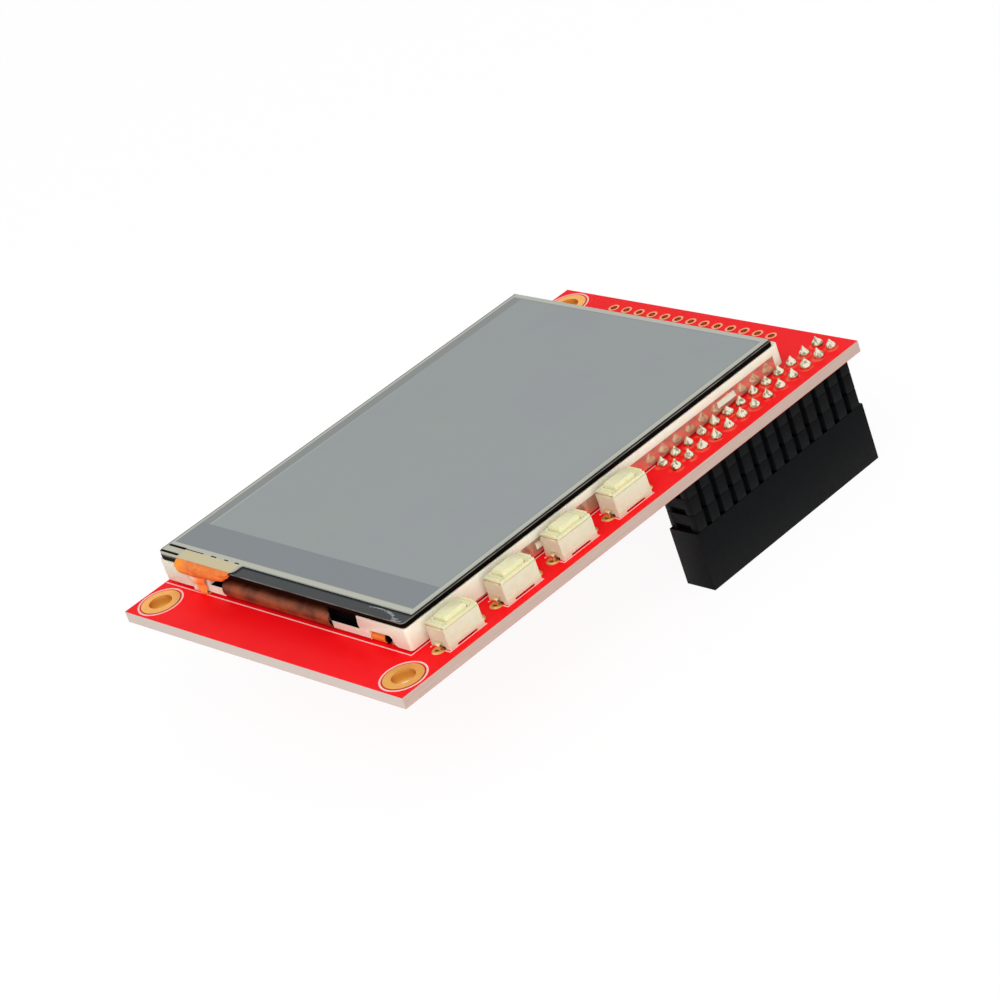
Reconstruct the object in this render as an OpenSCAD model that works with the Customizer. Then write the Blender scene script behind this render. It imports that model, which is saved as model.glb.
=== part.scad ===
// Touch display board that plugs onto a two-row pin header.
// Origin at the middle of the board's underside, X across the short side,
// Y along the long side, Z out of the display. Millimetres.

/* [Circuit board] */
// Width of the board, along X
board_w = 56; // [54:1:64]
// Length of the board, along Y
board_l = 85; // [82:1:96]
// Thickness of the laminate
board_t = 1.6; // [0.8:0.2:2.4]

/* [Mounting holes] */
// Clear bore of a plated mounting hole
hole_d = 3.2; // [2.6:0.1:3.6]
// Diameter of the gold land round each mounting hole
land_d = 5.4; // [4.8:0.1:6]
// Distance of the mounting holes from the board's edges
hole_inset = 3.5; // [3.2:0.1:3.7]
// Wall of the plated barrels
plating_t = 0.06; // [0.04:0.01:0.1]
// Height of the gold lands above the laminate
land_t = 0.05; // [0.03:0.01:0.08]

/* [Spare contact row] */
// Number of unfilled plated holes
row_count = 13; // [8:1:14]
// Bore of an unfilled hole
row_hole_d = 1; // [0.7:0.05:1.2]
// Land round an unfilled hole
row_land_d = 1.85; // [1.6:0.05:2.1]
// First unfilled hole from the left edge of the board
row_start = 11.9; // [10:0.1:13]
// Row of unfilled holes from the far edge of the board
row_edge = 2.3; // [1.8:0.1:2.6]

/* [Header] */
// Spacing of the contacts, both ways
pitch = 2.54; // [2.5:0.01:2.6]
// Contacts along each of the two rows
pins_long = 13; // [8:1:14]
// Outer contact row from the right edge of the board
header_edge = 2.5; // [2.2:0.1:3]
// Last contact from the far edge of the board
header_far = 2.5; // [2.2:0.1:3.2]
// Side of a square contact tail
pin_side = 0.64; // [0.5:0.02:0.7]
// Height of the socket housing
socket_h = 8.5; // [7:0.5:11]
// Width of the socket housing across its two rows
socket_w = 5.08; // [4.8:0.02:5.4]
// Side of the chamber round a spring contact
chamber = 1.5; // [1.3:0.05:1.6]
// Roof of the chambers
socket_roof = 1.1; // [0.8:0.1:1.6]
// Spacer strips between the socket and the board
spacer_count = 3; // [1:1:4]
// Height of one spacer strip
spacer_h = 2.5; // [2:0.1:3]
// Width of a castellation at the face of a spacer strip
rib_w = 1.6; // [1.4:0.05:1.8]
// Depth of the grooves between castellations
groove_d = 0.72; // [0.4:0.02:0.75]
// Tip of a contact tail above the board
tail_tip = 1.5; // [1.3:0.1:2.6]
// Radius of a solder joint on the board
solder_r = 0.75; // [0.65:0.05:1.05]
// Height of a solder joint
solder_h = 1.15; // [0.8:0.05:1.8]

/* [Display module] */
// Strip of board left free beside the display for the buttons and the header
button_strip = 6.1; // [6:0.1:8]
// Left side of the display from the left edge of the board
frame_left = 0.1; // [0:0.1:1]
// Strip of board left free at the near end
near_strip = 7.6; // [7.2:0.1:9]
// Strip of board left free at the far end
far_strip = 8; // [7:0.1:10]
// Foam tape under the module
tape_t = 0.3; // [0.25:0.05:0.5]
// Sheet of the backing tray
tray_t = 0.2; // [0.15:0.05:0.3]
// Height of the tray's side walls above its floor
tray_wall_h = 1.75; // [1.4:0.05:1.9]
// Start of the tray's side walls from the near side of the frame
tray_start = 20; // [18:0.5:24]
// End of the tray's side walls from the far side of the frame
tray_end = 1.5; // [1:0.1:3]
// Wall of the frame round the glass
glass_wall = 0.8; // [0.6:0.05:1]
// Wall of the frame round the light guide
guide_wall = 1.7; // [1.5:0.1:2.4]
// Depth of the frame's near bar, which holds the lamps
lamp_bay = 4.4; // [4:0.1:5.5]

/* [Optical stack] */
// Mirror sheet under the light guide
reflector_t = 0.1; // [0.08:0.01:0.15]
// Light guide plate
guide_t = 0.8; // [0.6:0.05:1]
// Diffuser sheet
diffuser_t = 0.1; // [0.08:0.01:0.15]
// Each of the two prism sheets
prism_t = 0.12; // [0.08:0.01:0.16]
// Black rim tape that carries the glass
rim_tape_t = 0.08; // [0.05:0.01:0.12]
// Each polariser
polariser_t = 0.15; // [0.1:0.01:0.2]
// Each of the two cell glasses
cell_glass_t = 0.5; // [0.3:0.05:0.7]
// Bare ledge of the rear glass, which carries the driver chip
ledge_l = 4.2; // [4:0.1:5]
// Play above the front polariser
stack_play = 0.25; // [0.1:0.05:0.4]

/* [Touch panel] */
// Black tape between the frame and the touch panel
panel_tape_t = 0.15; // [0.1:0.05:0.25]
// Width of the black tape
panel_tape_w = 1.5; // [1:0.1:1.6]
// Glass of the touch panel
touch_glass_t = 0.7; // [0.55:0.05:1.1]
// Glue rim between the touch glass and its film
touch_rim_t = 0.1; // [0.1:0.01:0.14]
// Width of the glue rim
touch_rim_w = 1.1; // [0.8:0.1:1.5]
// Flexible top film
film_t = 0.18; // [0.15:0.01:0.25]
// Set-back of the film from the sides of the glass
film_side = 0.3; // [0.1:0.05:0.5]
// Set-back of the film from the near side of the glass
film_near = 1.9; // [1.5:0.1:2.4]
// Length of film that reaches the near side, over the tail
film_lug = 16; // [15.6:0.1:18]

/* [Flexible circuits] */
// Sheet of the flexible circuits
flex_t = 0.1; // [0.06:0.01:0.1]
// Width of the display's ribbon
ribbon_w = 21.6; // [18:0.2:22]
// Left side of the ribbon from the left side of the frame
ribbon_left = 13; // [12.8:0.1:14]
// Width of the touch tail where it leaves the panel
tail_w = 11; // [9:0.2:11.2]
// Left side of the touch tail from the left side of the frame
tail_left = 4.4; // [4.2:0.1:5]
// Width of the touch tail's narrow strip
strip_w = 3.4; // [2.6:0.1:4]
// Width of the lamp flex's tab
lamp_tab_w = 3; // [2:0.1:3.4]

/* [Push buttons] */
// Number of push buttons
switch_count = 4; // [1:1:4]
// Free length before the first push button, against the two below
space_before = 3.15; // [2.5:0.05:5]
// Free length between neighbouring push buttons
space_between = 4.16; // [3:0.02:6]
// Free length between the last push button and the header
space_after = 5.7; // [4:0.05:9]
// Case from the right edge of the board
switch_edge = 1.5; // [1.2:0.05:1.7]
// Length of a case
switch_l = 6; // [5.6:0.1:6.4]
// Width of a case
switch_w = 3.5; // [3.3:0.05:3.8]
// Height of a case below its cover
switch_h = 2.95; // [2.7:0.05:3.4]
// Thickness of the cover
cover_t = 0.35; // [0.3:0.05:0.5]
// Length of the cap
cap_l = 3.6; // [3:0.1:3.8]
// Width of the cap
cap_w = 2.3; // [2:0.05:2.4]
// Height of the cap above its cover
cap_rise = 0.6; // [0.45:0.05:0.9]
// Travel of the cap
cap_travel = 0.25; // [0.15:0.05:0.3]
// Play round the cap
cap_play = 0.1; // [0.05:0.01:0.12]
// Lead from the end of its case
lead_out = 0.5; // [0.45:0.05:0.8]
// Width of a lead
lead_w = 0.9; // [0.7:0.05:1.1]

/* [Hidden] */
$fn = 48;
eps = 0.01;
snug = 0.02;

// Board frame: everything below is placed from the board's near left top corner
top_z = board_t;
left_x = -board_w / 2;
near_y = -board_l / 2;
right_x = board_w / 2;
far_y = board_l / 2;

// Header places
row_outer_x = right_x - header_edge;
header_x = row_outer_x - pitch / 2;
header_l = pins_long * pitch;
header_y = far_y - header_far - (pins_long - 1) * pitch / 2;
spacers_h = spacer_count * spacer_h;
socket_top = -spacers_h;
socket_bottom = socket_top - socket_h;

// Display places, from the near left corner of the frame
frame_x = left_x + frame_left;
frame_y = near_y + near_strip;
frame_w = board_w - frame_left - button_strip;
frame_l = board_l - near_strip - far_strip;
foot_z = top_z + tape_t;
floor_z = foot_z + tray_t;
reflector_z = floor_z;
guide_z = reflector_z + reflector_t;
diffuser_z = guide_z + guide_t;
prism_z = diffuser_z + diffuser_t;
ledge_z = prism_z + 2 * prism_t + eps * 8;
rear_pol_z = ledge_z + rim_tape_t;
rear_glass_z = rear_pol_z + polariser_t;
front_glass_z = rear_glass_z + cell_glass_t;
front_pol_z = front_glass_z + cell_glass_t;
frame_top = front_pol_z + polariser_t + stack_play;
glass_z = frame_top + panel_tape_t;
rim_z = glass_z + touch_glass_t;
film_z = rim_z + touch_rim_t;
module_top = film_z + film_t;

// Push button places
switch_x = right_x - switch_edge - switch_w / 2;
// The cases share the length between the near mounting hole and the header
ring_r = 3.2;
buttons_from = near_y + hole_inset + ring_r;
buttons_to = header_y - (pins_long - 1) * pitch / 2;
space_k = (buttons_to - buttons_from - switch_count * switch_l)
    / (space_before + (switch_count - 1) * space_between + space_after);
switch_pitch = switch_l + space_k * space_between;
lead_pitch = switch_l + 2 * lead_out;
function switch_y(i) = buttons_from + space_k * space_before + switch_l / 2 + i * switch_pitch;
cover_z = top_z + switch_h;
cap_top = cover_z + cover_t + cap_rise;
flange_t = 0.25;
flange_lip = 0.25;

// Points of a rounded rectangle, from corner [x, y]
function rounded(x, y, w, l, r, n = 6) = [
    for (c = [[x + w - r, y + r, -90], [x + w - r, y + l - r, 0], [x + r, y + l - r, 90], [x + r, y + r, 180]])
        for (i = [0:n]) [c[0] + r * cos(c[2] + 90 * i / n), c[1] + r * sin(c[2] + 90 * i / n)]];

// The same with a radius for each corner
function cornered(x, y, w, l, r, n = 6) = [
    for (c = [[x + w - r[0], y + r[0], -90, r[0]], [x + w - r[1], y + l - r[1], 0, r[1]],
              [x + r[2], y + l - r[2], 90, r[2]], [x + r[3], y + r[3], 180, r[3]]])
        for (i = [0:n]) [c[0] + c[3] * cos(c[2] + 90 * i / n), c[1] + c[3] * sin(c[2] + 90 * i / n)]];

// Points of an arc round [x, y], both ends included
function arc(x, y, r, from, to, n = 8) = [for (i = [0:n]) let (a = from + (to - from) * i / n) [x + r * cos(a), y + r * sin(a)]];

// Outline of a sheet of thickness t whose one face follows a path
function unit(v) = v / norm(v);
function turn(v) = [-v[1], v[0]];
function heading(p, i) = unit(p[min(i + 1, len(p) - 1)] - p[max(i - 1, 0)]);
function sheet_outline(p, t) = concat(p, [for (i = [len(p) - 1:-1:0]) p[i] + t * turn(heading(p, i))]);

module plate(x, y, w, l, r, z, t) {
    translate([0, 0, z]) linear_extrude(t) polygon(rounded(x, y, w, l, r));
}

// A profile drawn as [Y, Z] and run along X
module along_x(x, w, points) {
    translate([x, 0, 0]) rotate([90, 0, 90]) linear_extrude(w) polygon(points);
}

// A profile drawn as [X, Z] and run along Y
module along_y(y, l, points) {
    translate([0, y + l, 0]) rotate([90, 0, 0]) linear_extrude(l) polygon(points);
}

module at_mounting_holes() {
    for (p = [[left_x + hole_inset, near_y + hole_inset], [right_x - hole_inset, near_y + hole_inset],
              [left_x + hole_inset, far_y - hole_inset]])
        translate(p) children();
}

module at_row() {
    for (i = [0:row_count - 1]) translate([left_x + row_start + i * pitch, far_y - row_edge, 0]) children();
}

module at_contacts() {
    for (r = [0, 1], i = [0:pins_long - 1])
        translate([row_outer_x - r * pitch, header_y + (i - (pins_long - 1) / 2) * pitch, 0]) children();
}

module at_leads() {
    for (i = [0:switch_count - 1], s = [-1, 1])
        translate([switch_x, switch_y(i) + s * lead_pitch / 2, 0]) rotate([0, 0, s > 0 ? 180 : 0]) children();
}

// Circuit board -----------------------------------------------------------
header_bore_d = pin_side * sqrt(2) + 0.1;
lead_bore_d = lead_w + 0.2;

module bore(d) {
    translate([0, 0, -1]) cylinder(d = d, h = board_t + 2);
}

module circuit_board() {
    color("#e3232b") difference() {
        translate([left_x, near_y, 0]) cube([board_w, board_l, board_t]);
        at_mounting_holes() bore(hole_d + 2 * plating_t);
        at_row() bore(row_hole_d + 2 * plating_t);
        at_contacts() bore(header_bore_d);
        at_leads() bore(lead_bore_d);
    }
}

// A plated-through hole: barrel with a land on both faces
module plated_hole(bore_d, land) {
    difference() {
        union() {
            translate([0, 0, -land_t]) cylinder(d = bore_d + 2 * plating_t, h = board_t + 2 * land_t);
            translate([0, 0, -land_t]) cylinder(d = land, h = land_t);
            translate([0, 0, board_t]) cylinder(d = land, h = land_t);
        }
        translate([0, 0, -1]) cylinder(d = bore_d, h = board_t + 2);
    }
}

module mounting_lands() {
    color("#dca24a") at_mounting_holes() plated_hole(hole_d, land_d);
}

module spare_row_lands() {
    color("#e0a860") at_row() plated_hole(row_hole_d, row_land_d);
}

// Header ------------------------------------------------------------------
spring_w = 0.9;
spring_t = 0.2;
tail_seat = 0.4;
mouth_h = 0.5;

module header_socket() {
    color("#222426") difference() {
        translate([header_x - socket_w / 2, header_y - header_l / 2, socket_bottom])
            cube([socket_w, header_l, socket_h]);
        at_contacts() {
            translate([-chamber / 2, -chamber / 2, socket_bottom + mouth_h])
                cube([chamber, chamber, socket_h - socket_roof - mouth_h]);
            translate([-pin_side / 2 - snug, -pin_side / 2 - snug, socket_bottom - 1])
                cube([pin_side + 2 * snug, pin_side + 2 * snug, socket_h + 2]);
            translate([0, 0, socket_bottom - eps]) cylinder(d1 = 1.5, d2 = pin_side * 1.3, h = mouth_h + 2 * eps);
        }
    }
}

// One long face of a castellated strip, walked along Y; inset pulls it inwards
function castellated_side(half_w, inset) = [
    for (i = [0:pins_long - 1]) let (c = (i - (pins_long - 1) / 2) * pitch, h = rib_w / 2 - inset)
        for (p = concat(i > 0 ? [[half_w - groove_d - inset, c - pitch / 2 + 0.28 + inset]] : [],
                        [[half_w - inset, c - h], [half_w - inset, c + h]],
                        i < pins_long - 1 ? [[half_w - groove_d - inset, c + pitch / 2 - 0.28 - inset]] : [])) p];
function castellated(inset) = let (s = castellated_side(socket_w / 2, inset),
        e = (pins_long - 1) * pitch / 2 + rib_w / 2 + 0.15 - inset, k = socket_w / 2 - 0.75 - inset)
    concat([[k, -e]], s, [[k, e], [-k, e]],
           [for (i = [len(s) - 1:-1:0]) [-s[i][0], s[i][1]]], [[-k, -e]]);
spacer_foot = 0.1;
end_relief = [2.7, 0.9, 0.95];

module header_spacer(level) {
    color("#26282a") translate([header_x, header_y, -spacer_h * (level + 1)]) difference() {
        union() {
            linear_extrude(spacer_foot + eps) polygon(castellated(0.05));
            translate([0, 0, spacer_foot]) linear_extrude(spacer_h - spacer_foot) polygon(castellated(0));
        }
        for (r = [-0.5, 0.5], i = [0:pins_long - 1])
            translate([r * pitch, (i - (pins_long - 1) / 2) * pitch, spacer_h / 2])
                cube([pin_side + 2 * snug, pin_side + 2 * snug, spacer_h + 1], center = true);
        for (s = [-1, 1])
            translate([0, s * ((pins_long - 1) * pitch / 2 + rib_w / 2 + 0.15), end_relief[2] / 2 - eps])
                cube([end_relief[0], 2 * end_relief[1] - pin_side, end_relief[2]], center = true);
    }
}

module header_spacer_lower() header_spacer(spacer_count - 1);
module header_spacer_middle() header_spacer(max(spacer_count - 2, 0));
module header_spacer_upper() header_spacer(0);

// Spring contact: two leaves that pinch a pin, a base and a long square tail
module header_contact() {
    base_z = socket_top - socket_roof - tail_seat;
    translate([-pin_side / 2, -pin_side / 2, base_z]) cube([pin_side, pin_side, top_z + tail_tip - 0.25 - base_z]);
    translate([-pin_side / 4, -pin_side / 4, top_z + tail_tip - 0.25 - eps])
        cube([pin_side / 2, pin_side / 2, 0.25 + eps]);
    translate([-chamber / 2 + snug, -spring_w / 2, base_z]) cube([chamber - 2 * snug, spring_w, tail_seat]);
    for (s = [0, 1]) mirror([s, 0, 0]) along_y(-spring_w / 2, spring_w, [
        [chamber / 2 - snug, base_z + eps], [chamber / 2 - snug - spring_t, base_z + eps],
        [pin_side / 2 - 0.05, socket_bottom + mouth_h + 1.6], [pin_side / 2 + 0.12, socket_bottom + mouth_h + 0.5],
        [pin_side / 2 + 0.32, socket_bottom + mouth_h + 0.5], [pin_side / 2 + spring_t - 0.05, socket_bottom + mouth_h + 1.6]]);
}

module header_contacts() {
    color("#d8b25a") at_contacts() header_contact();
}

module solder_cone(r, h, tip) {
    rotate_extrude($fn = 24) polygon(concat([[0, 0], [r, 0]],
        [for (i = [1:6]) let (f = i / 6) [r + (tip - r) * (0.45 * f + 0.55 * f * f), h * f]], [[0, h]]));
}

module header_solder() {
    color("#cfd2c8") at_contacts() translate([0, 0, top_z]) difference() {
        solder_cone(solder_r, solder_h, pin_side * 0.8);
        translate([-pin_side / 2 - snug / 2, -pin_side / 2 - snug / 2, -1])
            cube([pin_side + snug, pin_side + snug, solder_h + 2]);
    }
}

// Display module ----------------------------------------------------------
tape_w = 8;
tape_margin = 4;
foot_w = 3.3;
notch_left = frame_w - 7.8;
notch_right = frame_w - 3.7;
notch_top = 1.4;
recess_right = frame_w - 9.4;
recess_depth = 2.3;
bar_top = 1.2;
bar_foot = 0.15;
clip_w = 3;
ribbon_play = 0.25;
latch_l = 3.4;
latch_h = 0.85;
latch_z = 0.45;
latches = [tray_start + 2.4, frame_l - 12.7];
tray_far = frame_l - tray_end;

module mounting_tape() {
    color("#e9e6da") for (x = [frame_x + 2, frame_x + frame_w - 2 - tape_w])
        plate(x, frame_y + tray_start, tape_w, frame_l - tray_start - tape_margin, 0.5, top_z, tape_t);
}

module backing_tray() {
    wall_l = tray_far - tray_start;
    color("#c9cbc9") difference() {
        union() {
            plate(frame_x, frame_y + lamp_bay, frame_w, frame_l - lamp_bay, 0.5, foot_z, tray_t);
            for (x = [0, frame_w - tray_t])
                translate([frame_x + x, frame_y + tray_start, foot_z]) cube([tray_t, wall_l, tray_t + tray_wall_h]);
            translate([frame_x + clip_w, frame_y + frame_l - tray_t, foot_z])
                cube([frame_w - 2 * clip_w, tray_t, tray_t + tray_wall_h]);
        }
        for (y = latches)
            translate([frame_x - 1, frame_y + y - snug, floor_z + latch_z - snug])
                cube([frame_w + 2, latch_l + 2 * snug, latch_h + 2 * snug]);
    }
}

// Elevation of the near wall, in frame coordinates, foot at zero
module near_cuts() {
    h = frame_top - foot_z;
    bar = bar_top;
    // Recess beside the ribbon, open at the top
    along_y(frame_y - 1, 1 + recess_depth, [for (p = [[ribbon_left - 2.9, bar], [recess_right, bar],
        [recess_right - 0.35, bar + 0.6], [recess_right - 0.6, h + 1], [ribbon_left - 2.9, h + 1]])
        [frame_x + p[0], foot_z + p[1]]]);
    // Full height gap for the ribbon's bend
    translate([frame_x + ribbon_left - ribbon_play, frame_y - 1, foot_z - 1])
        cube([ribbon_w + 2 * ribbon_play, 1 + bend_y - frame_y + 0.1, h + 2]);
    // Arched notch beside the right foot, where the lamp flex comes out
    along_y(frame_y - 1, 1 + lamp_bay - 1.5, [for (p = concat([[notch_left, -1], [notch_left + 0.1, notch_top - 0.1],
        [notch_left + 0.2, notch_top]], [[notch_right, notch_top + 0.05]],
        arc(notch_right + 1.15, 0.85, 0.8, 165, 260, 5), [[notch_right + 1.3, -1]])) [frame_x + p[0], foot_z + p[1]]]);
    // Raised underside between the gaps
    translate([frame_x + ribbon_left + ribbon_w, frame_y - 1, foot_z - 1])
        cube([notch_left - ribbon_left - ribbon_w + eps, 1 + lamp_bay - 0.5, 1 + bar_foot]);
    // Clear way under the frame for the tail and the ribbon
    translate([frame_x + tail_left - 0.2, frame_y - 1, foot_z - 1]) cube([ribbon_left + ribbon_w - tail_left + 0.4, lamp_bay + 2, 1 + eps]);
}

module backlight_frame() {
    color("#e9e4d8") difference() {
        union() {
            plate(frame_x, frame_y, frame_w, frame_l, 0.5, floor_z, frame_top - floor_z);
            plate(frame_x, frame_y, frame_w, lamp_bay - snug, 0.5, foot_z, tray_t + eps);
        }
        // Room for the tray's walls
        for (x = [-1, frame_w - tray_t - snug])
            translate([frame_x + x, frame_y + tray_start - snug, floor_z - 1])
                cube([1 + tray_t + snug, tray_far - tray_start + 2 * snug, 1 + tray_wall_h + snug]);
        translate([frame_x + clip_w - snug, frame_y + frame_l - tray_t - snug, floor_z - 1])
            cube([frame_w - 2 * clip_w + 2 * snug, 2, 1 + tray_wall_h + snug]);
        // Pocket of the light guide and its sheets
        translate([frame_x + guide_wall, frame_y + lamp_bay, floor_z - 1])
            cube([frame_w - 2 * guide_wall, frame_l - lamp_bay - guide_wall, 9]);
        // Pocket of the glass cell
        translate([frame_x + glass_wall, frame_y + glass_wall, ledge_z])
            cube([frame_w - 2 * glass_wall, frame_l - 2 * glass_wall, 9]);
        // Bay of the lamps
        translate([frame_x + guide_wall, frame_y + lamp_bay - 2.4, guide_z - snug])
            cube([frame_w - 2 * guide_wall, 3, 9]);
        near_cuts();
    }
    // Latches that snap into the tray's windows
    color("#e9e4d8") for (s = [0, 1], y = latches)
        translate([frame_x + frame_w / 2, 0, 0]) mirror([s, 0, 0])
            along_y(frame_y + y, latch_l, [for (p = [[-0.4, 0], [0.1, 0], [-tray_t - snug, latch_h], [-0.4, latch_h]])
                [frame_w / 2 + p[0], floor_z + latch_z + p[1]]]);
}

sheet_gap = 0.15;
sheet_x = frame_x + guide_wall + sheet_gap;
sheet_y = frame_y + lamp_bay + sheet_gap;
sheet_w = frame_w - 2 * (guide_wall + sheet_gap);
sheet_l = frame_l - lamp_bay - guide_wall - 2 * sheet_gap;

module optical_sheet(z, t) {
    plate(sheet_x, sheet_y, sheet_w, sheet_l, 0.4, z, t);
}

module reflector_sheet() color("#f4f4f0") optical_sheet(reflector_z, reflector_t);
module diffuser_sheet() color("#f0f0ea") optical_sheet(diffuser_z, diffuser_t);
module prism_sheet_lower() color("#dfe5e6") optical_sheet(prism_z, prism_t);
module prism_sheet_upper() color("#dfe5e6") optical_sheet(prism_z + prism_t, prism_t);

lamp_count = 4;
lamp_size = [3.8, 1.2, 0.6];
lamp_nook = 0.3;
function lamp_x(i) = sheet_x + sheet_w * (i + 0.5) / lamp_count;

module light_guide() {
    color("#e6efee") difference() {
        optical_sheet(guide_z, guide_t);
        for (i = [0:lamp_count - 1])
            translate([lamp_x(i) - lamp_size[0] / 2, sheet_y - 1, guide_z - 1])
                cube([lamp_size[0], 1 + lamp_nook, guide_t + 2]);
    }
}

// The lamp flex lies on the lamps and folds down through the notch
lamp_flex_z = guide_z + lamp_size[2];
flex_low = top_z + 0.06;
tab_x = frame_x + notch_left + 0.2;

module lamp_flex() {
    fold = (lamp_flex_z + flex_t - flex_low) / 2;
    out = 0.12;
    path = concat([[sheet_y - 0.1, lamp_flex_z + flex_t]],
        arc(frame_y + out + fold, flex_low + fold, fold, 90, 270, 8), [[frame_y + lamp_bay + 3, flex_low]]);
    color("#e07c22") {
        translate([sheet_x, sheet_y - 2.2, lamp_flex_z]) cube([sheet_w, 2.1, flex_t]);
        intersection() {
            along_x(tab_x, lamp_tab_w, sheet_outline(path, flex_t));
            translate([frame_x, frame_y, top_z + snug]) cube([frame_w, lamp_bay + 3, 9]);
        }
    }
}

module lamps() {
    color("#f3efd2") for (i = [0:lamp_count - 1])
        translate([lamp_x(i) - lamp_size[0] / 2 + 0.1, sheet_y - lamp_size[1] - 0.1, guide_z])
            cube([lamp_size[0] - 0.2, lamp_size[1] + lamp_nook, lamp_size[2]]);
}

cell_x = frame_x + glass_wall + sheet_gap;
cell_y = frame_y + glass_wall + sheet_gap;
cell_w = frame_w - 2 * (glass_wall + sheet_gap);
cell_l = frame_l - 2 * (glass_wall + sheet_gap);

module rim_tape() {
    color("#17181a") translate([0, 0, ledge_z]) linear_extrude(rim_tape_t) difference() {
        polygon(rounded(cell_x, cell_y + 2, cell_w, cell_l - 2, 0.2));
        polygon(rounded(sheet_x + 0.6, sheet_y + 0.6, sheet_w - 1.2, sheet_l - 1.2, 0.5));
    }
}

module rear_polariser() color("#3a4048") plate(cell_x + 0.4, cell_y + ledge_l, cell_w - 0.8, cell_l - ledge_l - 0.4, 0.2, rear_pol_z, polariser_t);
module rear_glass() color("#9fb0ae") plate(cell_x, cell_y, cell_w, cell_l, 0.1, rear_glass_z, cell_glass_t);
module front_glass() color("#8d9c9a") plate(cell_x, cell_y + ledge_l, cell_w, cell_l - ledge_l, 0.1, front_glass_z, cell_glass_t);
module front_polariser() color("#4a5258") plate(cell_x + 0.5, cell_y + ledge_l + 0.5, cell_w - 1, cell_l - ledge_l - 1, 0.2, front_pol_z, polariser_t);

chip_size = [17.4, 1.3, 0.4];

module driver_chip() {
    color("#33363a") translate([frame_x + frame_w / 2 - chip_size[0] / 2, cell_y + ledge_l - 0.6 - chip_size[1], front_glass_z])
        cube(chip_size);
}

// Display ribbon: bonded on the glass ledge, bent round the near side and back under the module
bond_l = 1.5;
bend_r = (front_glass_z + flex_t - flex_low) / 2;
bend_y = cell_y - snug;
ribbon_back = 9;

module display_ribbon() {
    path = concat([[cell_y + bond_l, front_glass_z + flex_t]],
        arc(bend_y, flex_low + bend_r, bend_r, 90, 270, 16), [[bend_y + ribbon_back, flex_low]]);
    color("#8a4a20") along_x(frame_x + ribbon_left, ribbon_w, sheet_outline(path, flex_t));
}

pad_count = 25;
pad_l = 2.6;
pad_w = 0.4;
pad_pitch = (ribbon_w - 2 * pad_w) / pad_count;

module ribbon_pads() {
    color("#dca24a") for (i = [0:pad_count - 1])
        translate([frame_x + ribbon_left + ribbon_w / 2 + (i - (pad_count - 1) / 2) * pad_pitch - pad_w / 2,
                   bend_y + ribbon_back - pad_l * 0.7, top_z])
            cube([pad_w, pad_l, flex_low - top_z]);
}

// Touch panel ---------------------------------------------------------------
panel_x = frame_x;
panel_y = frame_y;
panel_w = frame_w;
panel_l = frame_l - 0.85;
// Corner radii from the near right corner round to the near left one
glass_corners = [0.6, 0.4, 0.4, 1.2];
film_corner = 1;

// Outline of the film: set back along the near side, but for the lug over the tail
function film_outline(inset) = let (x0 = panel_x + film_side * 0.5 + inset, x1 = panel_x + panel_w - film_side - inset,
        y0 = panel_y + 0.05 + inset, y1 = panel_y + panel_l - film_side - inset, yn = panel_y + film_near + inset,
        xl = panel_x + film_lug - inset, r = min(1.1, film_near / 2))
    concat(arc(x0 + film_corner, y0 + film_corner, film_corner, 180, 270, 6), arc(xl - r, y0 + r, r, -90, 0, 5),
           arc(xl + 0.3, yn - 0.3, 0.3, 180, 90, 3), [[x1, yn], [x1, y1], [x0, y1]]);

module panel_tape() {
    gap = 0.25;
    color("#101113") translate([0, 0, frame_top]) linear_extrude(panel_tape_t) difference() {
        polygon(rounded(panel_x + gap, panel_y + gap, panel_w - 2 * gap, panel_l - 2 * gap, 0.3));
        polygon(rounded(panel_x + gap + panel_tape_w, panel_y + gap + panel_tape_w,
                        panel_w - 2 * (gap + panel_tape_w), panel_l - 2 * (gap + panel_tape_w), 0.3));
    }
}

module touch_glass() color("#22282c") translate([0, 0, glass_z]) linear_extrude(touch_glass_t)
    polygon(cornered(panel_x, panel_y, panel_w, panel_l, glass_corners));

module touch_rim() {
    color("#b9b9ae") translate([0, 0, rim_z]) linear_extrude(touch_rim_t) difference() {
        polygon(film_outline(0.05));
        polygon(rounded(panel_x + film_side + touch_rim_w, panel_y + film_near + touch_rim_w,
                        panel_w - 2 * (film_side + touch_rim_w), panel_l - film_near - film_side - 2 * touch_rim_w, 0.4));
        // Way for the tail
        translate([panel_x + tail_left - 0.05, panel_y - 1]) square([tail_w + 0.1, 1 + film_near + 0.2]);
    }
}

module touch_film() {
    color("#969c99") translate([0, 0, film_z]) linear_extrude(film_t) polygon(film_outline(0));
}

// Touch tail: a wide tongue that bulges down from the panel and a strip that goes under the module
tail_bulge = 0.75;
tail_drop = 1.35;
tail_out = 0.15;
strip_back = 3;

module touch_tail() {
    t = min(flex_t, touch_rim_t - eps);
    z0 = rim_z + t;
    y0 = panel_y - tail_out;
    tongue = concat([[panel_y + film_near, z0], [y0 + tail_bulge * 0.2, z0]],
        arc(y0, z0 - tail_bulge, tail_bulge, 90, 180, 6), arc(y0, z0 - tail_drop, tail_bulge, 180, 268, 6));
    low = z0 - tail_drop - tail_bulge;
    strip = concat([[y0 + 0.02, low], [y0 + 0.03, low - 0.1]], arc(y0 + 0.2, top_z + 0.5, 0.3, 180, 268, 5),
        [[y0 + strip_back, top_z + 0.2]]);
    color("#e8862c") {
        along_x(panel_x + tail_left, tail_w, sheet_outline(tongue, t));
        along_x(panel_x + tail_left + 1.6, strip_w, concat([[y0 - 0.1, low + t]], sheet_outline(strip, t)));
    }
}

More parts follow.
